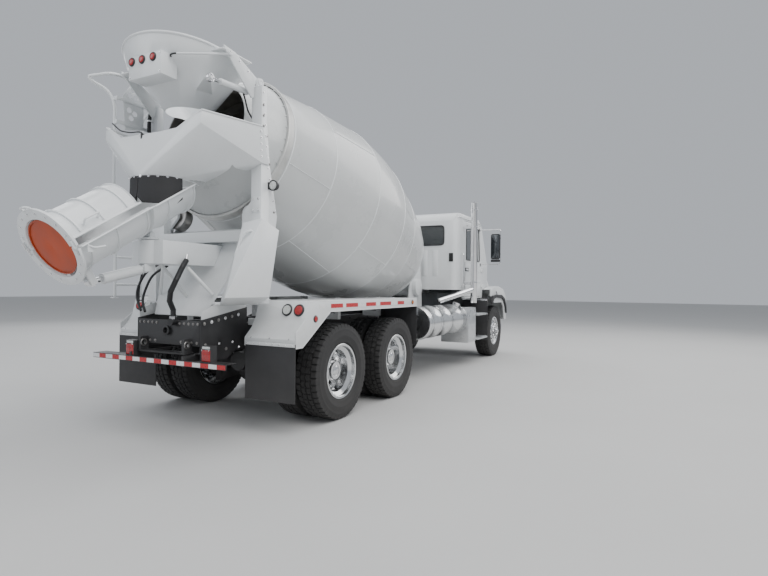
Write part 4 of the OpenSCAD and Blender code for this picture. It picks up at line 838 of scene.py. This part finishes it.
# ------------------------------------------------------------------ rear end: bar, tail lamps, frame
def rear_end():
    p = Piece()
    # striped reflecting tape along the bar
    w = 1816 / 18
    for i in range(18):
        y0 = -908 + i * w
        p.box(-1476.2, -1474.6, y0 + 1, y0 + w - 1, 706, 746, "tape_red" if i % 2 == 0 else "tape_white")
    # tail lamps: red cases with ribs and a clear strip on top
    for y0, y1 in ((330, 450), (-700, -580)):
        p.box(-1444, -1428, y0 + 6, y1 - 6, 756, 866, "red", 8)
        for k in range(6):
            p.box(-1447, -1440, y0 + 14, y1 - 14, 766 + k * 16, 772 + k * 16, "red", 2)
        p.box(-1443, -1420, y0 + 12, y1 - 12, 870, 896, "clear", 6)
        for dy in (16, 104):
            p.bolt((-1446, y0 + dy, 862), (-1, 0, 0), 4, 3)
    # bolts on the frame's rear plate and side plates
    for s in (1, -1):
        for k in range(5):
            p.bolt((-1312, s * (160 + 60 * k), 1080), (-1, 0, 0), 10, 8, "worn")
        for k in range(4):
            p.bolt((-1312, s * (180 + 70 * k), 900), (-1, 0, 0), 10, 8, "worn")
        for i in range(6):
            p.bolt((-1270 + i * 92, s * 441, 1085 + i * 14), (0, s, 0), 12, 10, "steel" if i % 2 else "worn")
            p.bolt((-1255 + i * 92, s * 441, 880 - (i % 2) * 60), (0, s, 0), 12, 10, "steel" if i % 3 else "worn")
        for i in range(30):
            x = -560 + i * 250
            if not 560 < x < 900:
                p.bolt((x, s * 430, 1020), (0, s, 0), 9, 7, "black")
                p.bolt((x + 60, s * 430, 840), (0, s, 0), 9, 7, "black")
    for y in (-300, 300):
        p.revolve([(-19, 24.5), (-19, 34), (-15, 38), (15, 38), (19, 34), (19, 24.5)], (-1360, y, 880), (0, 1, 0), "worn", 28, up=(1, 0, 0))
    # socket and looped brake hoses at the rear of the frame
    p.revolve([(0, 30), (0, 46), (30, 46), (34, 40), (34, 30)], (-1312, 0, 1010), (-1, 0, 0), "plastic", 24, up=(0, 1, 0))
    p.make("rear_frame_fittings", "root", angle=38, main="worn")
    h = Piece()
    for s in (1, -1):
        for k, dx in enumerate((0, 55)):
            h.tube([(-420 + dx, s * 330, 800), (-430 + dx, s * 345, 700), (-300 + dx, s * 360, 600), (-150 + dx, s * 300, 640), (-120 + dx, s * 230, 720)], 10, "hose", 10, smooth=90)
            h.tube([(950 + dx, s * 330, 800), (940 + dx, s * 345, 700), (1070 + dx, s * 360, 600), (1220 + dx, s * 300, 640), (1250 + dx, s * 230, 720)], 10, "hose", 10, smooth=90)
        # brake chambers on the axles, air tanks under the rails
        for x in (0, 1370):
            a, b = Vector((x - 250, s * 330, 680)), Vector((x - 430, s * 330, 700))
            h.cyl(a, b, 72, "black", 28, 66)
            h.cyl(b, b + Vector((-18, 0, 3)), 82, "steel", 28)
            h.cyl(b + Vector((-18, 0, 3)), b + Vector((-110, 0, 18)), 70, "black", 28, 58)
            h.cyl(a, (x - 120, s * 330, 670), 16, "worn", 12)
            h.box(x - 130, x - 60, s * 330 - 12, s * 330 + 12, 600, 690, "black", 4)
            h.box(x - 260, x - 235, s * 330 - 40, s * 330 + 40, 580, 700, "black", 4)
    for y, x0 in ((-240, 2250), (240, 2250)):
        h.cyl((x0, y, 720), (x0 + 620, y, 720), 105, "black", 36)
        for x, d in ((x0, -1), (x0 + 620, 1)):
            h.dome((x, y, 720), (d, 0, 0), 105, 34, "black", 36, 5)
        for x in (x0 + 120, x0 + 480):
            h.box(x, x + 40, y - 112, y + 112, 712, 795, "black", 5)
    # brake lines and wiring along the rails
    for s in (1, -1):
        h.tube([(-1200, s * 322, 960), (-500, s * 322, 965), (600, s * 322, 960), (2400, s * 322, 965), (4600, s * 322, 955)], 11, "hose", 8)
        h.tube([(-1200, s * 318, 925), (600, s * 318, 920), (4600, s * 318, 925)], 7, "hose", 8)
    h.make("brakes_and_air", "root", angle=38, main="black")


rear_end()


# ------------------------------------------------------------------ tanks, steps, stack
def side_gear():
    p = Piece()
    for s in (1, -1):
        # filler with cap, strap bolts and drain
        p.cyl((4250, s * 900 + s * 80, 1120), (4250, s * 900 + s * 95, 1160), 62, "alu", 32)
        p.revolve([(0, 0.01), (0, 66), (22, 66), (28, 58), (28, 0.01)], (4250, s * 1000, 1160), (0, s * 0.35, 0.94), "steel", 32, closed=False, up=(1, 0, 0))
        for x in (2720, 3120, 3560, 4120):
            p.box(x - 6, x + 66, *sorted((s * 640, s * 690)), 1010, 1070, "worn", 4)
            p.cyl((x + 30, s * 668, 1050), (x + 30, s * 668, 1115), 9, "steel", 10)
            p.bolt((x + 30, s * 668, 1072), (0, 0, 1), 15, 14, "steel")
        # rolled seams at the tank's ends
        for x, d in ((2650, -1), (4400, 1)):
            p.revolve([(0, 236), (6 * d, 243), (10 * d, 252), (4 * d, 261), (-6 * d, 261)], (x, s * 900, 890), (1, 0, 0), "alu", 64, up=(0, 0, 1))
            p.revolve([(0, 0.01), (14 * d, 30), (13 * d, 150), (3 * d, 236)], (x, s * 900, 890), (1, 0, 0), "alu", 64, closed=False, up=(0, 0, 1))
        # treads of the steps: raised bars
        for z in (500, 960):
            for k in range(11):
                p.box(4885 + k * 55, 4910 + k * 55, *sorted((s * 915, s * 1215)), z - 1, z + 5, "alu_tread", 2)
        # tool and battery box lid, hinges and catches
        x0, x1 = 4446, 4874
        p.box(x0, x1, *sorted((s * 1168, s * 1178)), 470, 1060, "alu_tread", 4)
        for z in (560, 760, 960):
            p.tube([(x0 + 40, s * 1180, z), (x1 - 40, s * 1180, z)], 4, "alu_tread", 6)
        for x in (4540, 4780):
            p.box(x - 18, x + 18, *sorted((s * 1176, s * 1190)), 1000, 1050, "steel", 3)
        # grab handles beside the door
        p.tube([(4450, s * 1022, 1480), (4430, s * 1075, 1500), (4430, s * 1075, 2080), (4450, s * 1022, 2100)], 14, "steel", 12, smooth=30)
    p.make("tank_and_step_fittings", "root", angle=38, main="alu")
    # clamps of the stack, and a dark disc in its mouth that is painted shade for the inside of the open pipe
    q = Piece()
    for z in (1560, 2590, 2900):
        q.revolve([(-12, 60.5), (-12, 66), (12, 66), (12, 60.5)], (4570, -1225, z), (0, 0, 1), "steel", 36, up=(1, 0, 0))
        q.bolt((4570, -1292, z), (0, -1, 0), 7, 7)
    q.revolve([(0, 44), (0, 53.5), (6, 53.5), (6, 44)], (4521.5, -1242.4, 3036), (-0.334, -0.12, 0.935), "steel", 36, up=(1, 0, 0))
    # dark disc across the mouth: painted shade standing for the inside of the pipe
    q.revolve([(0, 0.01), (0, 44)], (4520.5, -1242.8, 3039.5), (-0.334, -0.12, 0.935), "plastic", 36, closed=False, up=(1, 0, 0))
    q.make("stack_clamps", "root", angle=38, main="steel")


side_gear()


# ------------------------------------------------------------------ chute and its folding half
CH = Matrix.Translation((-2440, 0, 1740)) @ Matrix.Rotation(math.radians(-31.4), 4, "Y")


def on_chute(p):
    return CH @ Vector(p)


def chute():
    rounded("main_chute", 1.5, "white", 2, 34, keep=None)
    rounded("fold_chute", 1.5, "white", 2, 34)
    a = math.radians(31.4)
    ax = Vector((math.cos(a), 0, math.sin(a)))
    up = (-math.sin(a), 0, math.cos(a))
    p = Piece()
    # ring of ribs under the trough, rolled edges and wear strips
    for x in (120, 400, 735):
        p.revolve([(x - 6, 268), (x - 6, 284), (x + 6, 284), (x + 6, 268)], on_chute((0, 0, 0)), ax, "white", 40, a0=92, a1=268, up=up)
    for x in (960, 1300):
        p.revolve([(x - 6, 337), (x - 6, 352), (x + 6, 352), (x + 6, 337)], on_chute((0, 0, 65)), ax, "white", 40, a0=104, a1=256, up=up)
    for s in (1, -1):
        p.tube([on_chute((22, s * 328, -14)), on_chute((782, s * 328, -14))], 8, "white", 10)
        p.tube([on_chute((790, s * 344, -15)), on_chute((1316, s * 344, -15))], 8, "white", 10)
        for x in (80, 260, 440, 620):
            p.bolt(on_chute((x, s * 300, -20)), Vector(on_chute((0, 0, -1))) - Vector(on_chute((0, 0, 0))), 8, 6)
    # bolts on the end flange
    for k in range(9):
        t = math.radians(100 + 20 * k)
        u0 = Vector(up)
        w0 = ax.cross(u0)
        c = Vector(on_chute((-20, 0, 0))) + (u0 * math.cos(t) + w0 * math.sin(t)) * 300
        if k not in (4,):
            p.bolt(c, -ax, 8, 6)
    # latch with its lever
    p.box(-2380, -2330, -352, -334, 1700, 1750, "white", 3)
    p.tube([on_chute((60, -345, -20)), on_chute((90, -362, -60)), on_chute((180, -362, -90))], 9, "white", 10, smooth=20)
    p.make("chute_ribs", "main_chute", angle=38)
    r = Piece()
    r.revolve([(1, 0.01), (-4, 60), (-5, 120), (-3, 200), (1, 238), (9, 240), (11, 236), (11, 0.01)], on_chute((0, 0, 0)), ax, "disc", 72, closed=False, up=up)
    r.revolve([(-8, 228), (-8, 240), (2, 240), (2, 228)], on_chute((0, 0, 0)), ax, "disc", 72, up=up)
    r.make("chute_end_disc", "main_chute", angle=38, main="disc")
    q = Piece()
    for x in (120, 350, 600):
        q.revolve([(x - 6, 256), (x - 6, 272), (x + 6, 272), (x + 6, 256)], on_chute((0, 0, 0)), ax, "white", 40, a0=-74, a1=74, up=up)
    for s in (1, -1):
        q.tube([on_chute((4, s * 308, 65)), on_chute((696, s * 308, 65))], 8, "white", 10)
        # carrying handles
        q.tube([on_chute((180, s * 236, 108)), on_chute((180, s * 285, 150)), on_chute((320, s * 285, 150)), on_chute((320, s * 236, 108))], 9, "white", 10, smooth=22)
    q.revolve([(696, 248), (694, 262), (700, 268), (706, 262), (704, 248)], on_chute((0, 0, 0)), ax, "white", 48, a0=-76, a1=76, up=up)
    # hook on the end flange
    q.tube([on_chute((-18, 60, 330)), on_chute((-40, 60, 352)), on_chute((-40, 0, 362)), on_chute((-22, -40, 345))], 9, "white", 10, smooth=15)
    for k in range(8):
        t = math.radians(-70 + 20 * k)
        u0 = Vector(up)
        w0 = ax.cross(u0)
        q.bolt(Vector(on_chute((-20, 0, 0))) + (u0 * math.cos(t) + w0 * math.sin(t)) * 300, -ax, 8, 6)
    q.make("fold_chute_ribs", "fold_chute", angle=38)


chute()


# ------------------------------------------------------------------ hopper, collector, pedestal
def outlet_flaps():
    p = Piece()
    # [first and last angle, lower edge, radius]: the rear middle is at 180
    for a0, a1, low, r in ((183, 260, 2202, 304), (104, 181, 2214, 302)):
        n, rows = 30, 6
        v, f = [], []
        for k, rr in enumerate((r - 4, r + 4)):
            for j in range(rows + 1):
                for i in range(n + 1):
                    u = i / n
                    a = math.radians(a0 + (a1 - a0) * u)
                    corner = 55 * max(0.0, abs(2 * u - 1) - 0.72) / 0.28
                    zb = low + corner + 3 * math.sin(9 * u + a0)
                    w = j / rows
                    bulge = 9 * (1 - w) ** 2 * (1 + 0.4 * math.sin(5 * u + a0))
                    v.append((-1370 + (rr + bulge) * math.cos(a), (rr + bulge) * math.sin(a), zb + (2456 - zb) * w))
        m = (rows + 1) * (n + 1)
        for j in range(rows):
            for i in range(n):
                a = j * (n + 1) + i
                f.append((a, a + n + 1, a + n + 2, a + 1))
                f.append((m + a, m + a + 1, m + a + n + 2, m + a + n + 1))
        for i in range(n):
            f.append((i, i + 1, m + i + 1, m + i))
            a = rows * (n + 1) + i
            f.append((a, m + a, m + a + 1, a + 1))
        for j in range(rows):
            for i in (0, n):
                a = j * (n + 1) + i
                q = (a, m + a, m + a + n + 1, a + n + 1)
                f.append(q if i == 0 else q[::-1])
        p.add(v, f, "flap")
    p.make("outlet_flaps", "root", ("collector_flap",), angle=40, main="flap")


outlet_flaps()


def rear_top():
    p = Piece()
    # rolled rim of the charging hopper, on the sloping plane of its upper edge
    def rim(ang, r, dz=0):
        x = max(-1e9, -1080 + r * math.cos(ang) * math.cos(math.radians(11.3)))
        z = 3642 - r * math.cos(ang) * math.sin(math.radians(11.3)) + dz
        return (x, r * math.sin(ang), z)
    a0 = math.acos(min(1, 230 / 616))
    pts = [rim(a0 + (2 * math.pi - 2 * a0) * i / 60, 616) for i in range(61)]
    p.tube(pts, 13, "white", 12)
    p.tube([pts[0], ((pts[0][0] + pts[-1][0]) / 2, 0, pts[0][2]), pts[-1]], 13, "white", 12)
    # lamp box: three round red lamps
    for y in (106, -32, -178):
        p.lamp((-1660, y, 3527), (-1, 0, 0), 34, "red", "plastic", 16)
    for y in (-262, 132):
        for z in (3385, 3552):
            p.bolt((-1660, y, z), (-1, 0, 0), 6, 4)
    # ribs and bolts of the arms
    for s in (1, -1):
        for x, z in ((-1240, 3630), (-1120, 3592), (-1000, 3538)):
            p.bolt((x, s * 714, z), (0, s, 0), 9, 7)
        p.revolve([(0, 20), (0, 38), (6, 38), (8, 34), (8, 20)], (-860, s * 750.5, 3470), (0, s, 0), "white", 28, up=(1, 0, 0))
    # tube for the lamps' cable, along the hopper's side to the arm
    p.tube([(-1548, -276, 3552), (-1576, -300, 3556), (-1574, -345, 3560), (-1552, -374, 3562)], 8, "hose", 10, smooth=30)
    p.tube([(-1562, -362, 3561), (-1254, -722, 3606)], 11, "white", 12)
    p.box(-1275, -1240, -736, -712, 3592, 3620, "white", 3)
    p.make("hopper_rim_and_lamps", "charge_hopper", angle=38)
    q = Piece()
    # collector: rolled rim, stiffeners and bolts of the rubber skirt
    q.tube([(-905, 812, 3018), (-1528, 652, 3018), (-1532, 640, 3010), (-1534, 560, 2965), (-1534, 380, 2886), (-1534, 0, 2868), (-1534, -380, 2886), (-1534, -560, 2965), (-1532, -640, 3010), (-1528, -652, 3018), (-905, -812, 3018)], 9, "white", 10)
    for s in (1, -1):
        for i in range(5):
            q.bolt((-910 - i * 2, s * 812, 2720 + i * 62), (0, s, 0), 8, 6)
        for i in range(12):
            z = 2210 + i * 105
            x = -650 + (z - 2160) * (-120 / 490) if z < 2650 else -770 - (z - 2650) / 450 * 50
            q.bolt((x - 26, s * 800, z), (0, s, 0), 8, 6)
    for k in range(10):
        t = math.radians(180 - 70 + 140 * k / 9)
        q.bolt((-1370 + 308 * math.cos(t), 308 * math.sin(t), 2452), (math.cos(t), math.sin(t), 0), 9, 6)
    q.revolve([(-6, 286), (-6, 303), (2, 303), (2, 286)], (-1370, 0, 2446), (0, 0, 1), "white", 60, up=(1, 0, 0))
    # hopper stop and bracket plates on the columns
    for s in (1, -1):
        q.box(-908, -898, *sorted((s * 690, s * 790)), 2180, 2330, "white", 2)
        for dy in (706, 774):
            for z in (2200, 2310):
                q.bolt((-908, s * dy, z), (-1, 0, 0), 8, 6)
    # grab bar on the fairing's rear face, brace rods under the arm
    q.tube([(-1100, -885, 1970), (-1150, -882, 1968), (-1182, -832, 1937), (-1240, -782, 1718), (-1230, -800, 1692), (-1190, -802, 1690)], 12, "white", 12, smooth=24)
    for s in (1, -1):
        q.tube([(-1250, s * 150, 1655), (-1095, s * 372, 1358)], 17, "white", 14)
    q.tube([(-1410, 0, 1655), (-1085, 0, 1336)], 17, "white", 14)
    # bolts and round lamps on the columns
    for s in (1, -1):
        for x, z in ((-874, 3238), (-872, 3134), (-870, 3032), (-818, 2946), (-860, 2718), (-777, 2672), (-700, 2200), (-812, 1700), (-812, 1560)):
            q.bolt((x, s * 800, z), (0, s, 0), 9, 7, "worn")
        q.box(-800, -740, *sorted((s * 798, s * 812)), 2420, 2490, "plastic", 4)
        q.revolve([(0, 0.01), (0, 42), (-34, 54), (-52, 54), (-52, 46), (-44, 44)], (-745, s * 860, 2454), (1, 0, 0), "plastic", 32, closed=False, up=(0, 0, 1))
        q.revolve([(-44, 46), (-52, 40), (-56, 22), (-57, 0.01)], (-745, s * 860, 2454), (1, 0, 0), "clear", 32, closed=False, up=(0, 0, 1))
    # boxes on the collector's rear edge, with their latch
    q.box(-1566, -1531, 92, 288, 2742, 2880, "white", 3)
    q.box(-1558, -1531, -104, 62, 2742, 2880, "white", 3)
    q.box(-1580, -1540, 64, 88, 2775, 2884, "plastic", 5)
    for y, z in ((-90, 2760), (-90, 2862), (270, 2760), (110, 2862)):
        q.bolt((-1558 if y < 0 else -1566, y, z), (-1, 0, 0), 6, 5, "worn")
    for y, z in ((-420, 2020), (-250, 2020), (-90, 2020), (90, 2020), (250, 2020), (420, 2020)):
        x = -1190 + (z - 1140) * 490 / 910
        q.bolt((x - 2, y, z), (-0.88, 0, 0.47), 9, 7)
    # two slots and a hole drawn as dark insets on the leaning plate; their dark colour is painted shade inside the
    # openings
    for y in (60, -170):
        z = 1905
        x = -1190 + (z - 1140) * 490 / 910
        q.box(x - 4, x + 3, y - 10, y + 10, z - 45, z + 45, "plastic", 3)
    q.make("pedestal_fittings", "root", angle=38)
    h = Piece()
    # hydraulic hoses: to the hopper ram, the chute ram and down the pedestal
    h.tube([(-885, -668, 3120), (-930, -650, 3180), (-960, -640, 3290), (-985, -640, 3338)], 9, "hose", 10, smooth=40)
    h.tube([(-1040, 330, 1655), (-1120, 470, 1560), (-1180, 500, 1400), (-1240, 470, 1290), (-1300, 350, 1180)], 13, "hose", 12, smooth=90)
    h.tube([(-1060, 360, 1700), (-1150, 520, 1600), (-1220, 560, 1440), (-1270, 520, 1320), (-1310, 400, 1190)], 13, "hose", 12, smooth=90)
    h.tube([(-1000, 600, 1850), (-1090, 640, 1650), (-1180, 600, 1420), (-1240, 520, 1270)], 10, "hose", 10, smooth=90)
    for a, b in (((-1310, -238, 1690), (-1290, -225, 1745)), ((-1310, -200, 1690), (-1290, -190, 1745))):
        h.cyl(a, b, 11, "steel", 12)
    # cable over the collector's edge, and the small loop on the hopper's arm
    h.tube([(-1560, 76, 2880), (-1566, 110, 2905), (-1570, 250, 2912), (-1560, 400, 2950), (-1548, 530, 3040), (-1530, 560, 3052)], 7, "hose", 8, smooth=40)
    h.revolve([(0, 26), (0, 36), (26, 36), (26, 26)], (-1339, -100, 1122), (0, 0, 1), "steel", 24, up=(1, 0, 0))
    # thick hose on the left column, from behind the collector's edge to the hopper's hinge
    h.tube([(-902, 745, 2900), (-928, 748, 2960), (-944, 750, 3060), (-950, 752, 3180), (-944, 754, 3290), (-926, 755, 3360), (-902, 756, 3392)], 21, "hose", 16, smooth=60)
    for z in (3120, 3262):
        h.revolve([(-9, 21), (-9, 27), (9, 27), (9, 21)], (-948, 752, z), (0, 0, 1), "steel", 20, up=(1, 0, 0))
        h.box(-930, -898, 742, 762, z - 8, z + 8, "steel", 2)
    h.make("pedestal_hoses", "root", angle=38, main="hose")


rear_top()


# ------------------------------------------------------------------ ladder and its guard plate
def holed_plate(piece, outline, holes, y0, y1, mat):
    """A plate in side view, [x, z] points, with holes cut, between two values of y."""
    bm = bmesh.new()
    for loop in [outline] + holes:
        vs = [bm.verts.new((a, y0, b)) for a, b in loop]
        for i in range(len(vs)):
            bm.edges.new((vs[i], vs[(i + 1) % len(vs)]))
    bmesh.ops.triangle_fill(bm, use_beauty=True, use_dissolve=False, edges=bm.edges[:])
    up = bmesh.ops.extrude_face_region(bm, geom=bm.faces[:])
    for g in up["geom"]:
        if isinstance(g, bmesh.types.BMVert):
            g.co.y = y1
    piece.bm(bm, mat)


def ladder():
    p = Piece()
    p.tube([(-1180, 985, 1322), (-1180, 985, 2350), (-1300, 850, 2480), (-1300, 850, 3370), (-1340, 900, 3500), (-1480, 980, 3570), (-1500, 982, 3606), (-1492, 960, 3612), (-1430, 740, 3622), (-1300, 745, 3640), (-1110, 800, 3648)], 16, "white", 14, smooth=70)
    p.tube([(-860, 985, 1322), (-860, 985, 3300), (-860, 860, 3400)], 16, "white", 14, smooth=60)
    for i in range(4):
        z = 1450 + i * 300
        p.tube([(-1180, 985, z), (-860, 985, z)], 13, "white", 14)
        for k in range(11):
            p.revolve([(-3, 12.6), (-3, 14.2), (3, 14.2), (3, 12.6)], (-1145 + k * 25, 985, z), (1, 0, 0), "white", 14, up=(0, 0, 1))
    for x in (-1180, -860):
        p.box(x - 30, x + 30, 955, 1015, 1304, 1312, "white", 2)
        for dx in (-20, 20):
            p.bolt((x + dx, 1005, 1312), (0, 0, 1), 5, 4, "worn")
    for z in (2265, 3015):
        p.box(-868, -852, 800, 985, z - 15, z + 15, "white", 3)
        p.box(-900, -820, 800, 808, z - 35, z + 35, "white", 2)
    hexes = [[(cx + 33 * math.cos(math.radians(60 * i + 15)), cz + 33 * math.sin(math.radians(60 * i + 15))) for i in range(6)]
             for cx, cz in ((-1118, 3560), (-1152, 3494), (-1082, 3482), (-1158, 3330), (-1090, 3306), (-1134, 3250))]
    outline = [(-1107, 3652), (-1053, 3682), (-980, 3400), (-978, 3156), (-1207, 3101), (-1237, 3468)]
    holed_plate(p, outline, hexes, 806, 812, "white")
    for z in (3150, 3400):
        p.box(-1310, -860, 800, 807, z, z + 40, "white", 1.5)
        p.box(-1312, -1288, 802, 850, z, z + 40, "white", 2)
        for x in (-1180, -1020, -890):
            p.bolt((x, 812 if x < -950 else 807, z + 20), (0, 1, 0), 6, 5, "worn")
    p.make("ladder_and_guard", "root", ("ladder",), angle=34)


ladder()

# ------------------------------------------------------------------ floor, light
def stage():
    bm = bmesh.new()
    bmesh.ops.create_grid(bm, x_segments=1, y_segments=1, size=60)
    me = bpy.data.meshes.new("floor")
    bm.to_mesh(me)
    bm.free()
    ob = bpy.data.objects.new("floor", me)
    bpy.context.scene.collection.objects.link(ob)
    m = surface("floor_plain", (0.50, 0.50, 0.495), (0.75, 0.85), var=0.03, scale=0.6, fine=30, bump_s=0.02)
    me.materials.append(m)
    w = bpy.data.worlds.new("world")
    bpy.context.scene.world = w
    w.use_nodes = True
    bg = w.node_tree.nodes["Background"]
    bg.inputs["Color"].default_value = (0.80, 0.84, 0.90, 1)
    bg.inputs["Strength"].default_value = 0.62
    # [place, size, power, colour, point looked at]
    for i, (at, size, power, col, to) in enumerate([
            ((-6, -9, 13), 12, 1500, (1, 0.99, 0.97), (0, 0, 1.5)),
            ((-14, 6, 8), 10, 420, (0.93, 0.96, 1.0), (-2, 0, 2)),
            ((9, -6, 9), 9, 500, (1, 0.98, 0.96), (2, 0, 1.5)),
            ((2, 0, 16), 14, 900, (1, 1, 1), (0, 0, 0)),
            ((6, 12, 9), 10, 500, (0.97, 0.98, 1), (0, 0, 1.5))]):
        li = bpy.data.lights.new(f"light_{i}", "AREA")
        li.shape = "SQUARE"
        li.size = size
        li.energy = power * 1.22
        li.color = col
        lo = bpy.data.objects.new(f"light_{i}", li)
        lo.location = at
        lo.rotation_euler = (Vector(to) - Vector(at)).to_track_quat("-Z", "Y").to_euler()
        bpy.context.scene.collection.objects.link(lo)


stage()
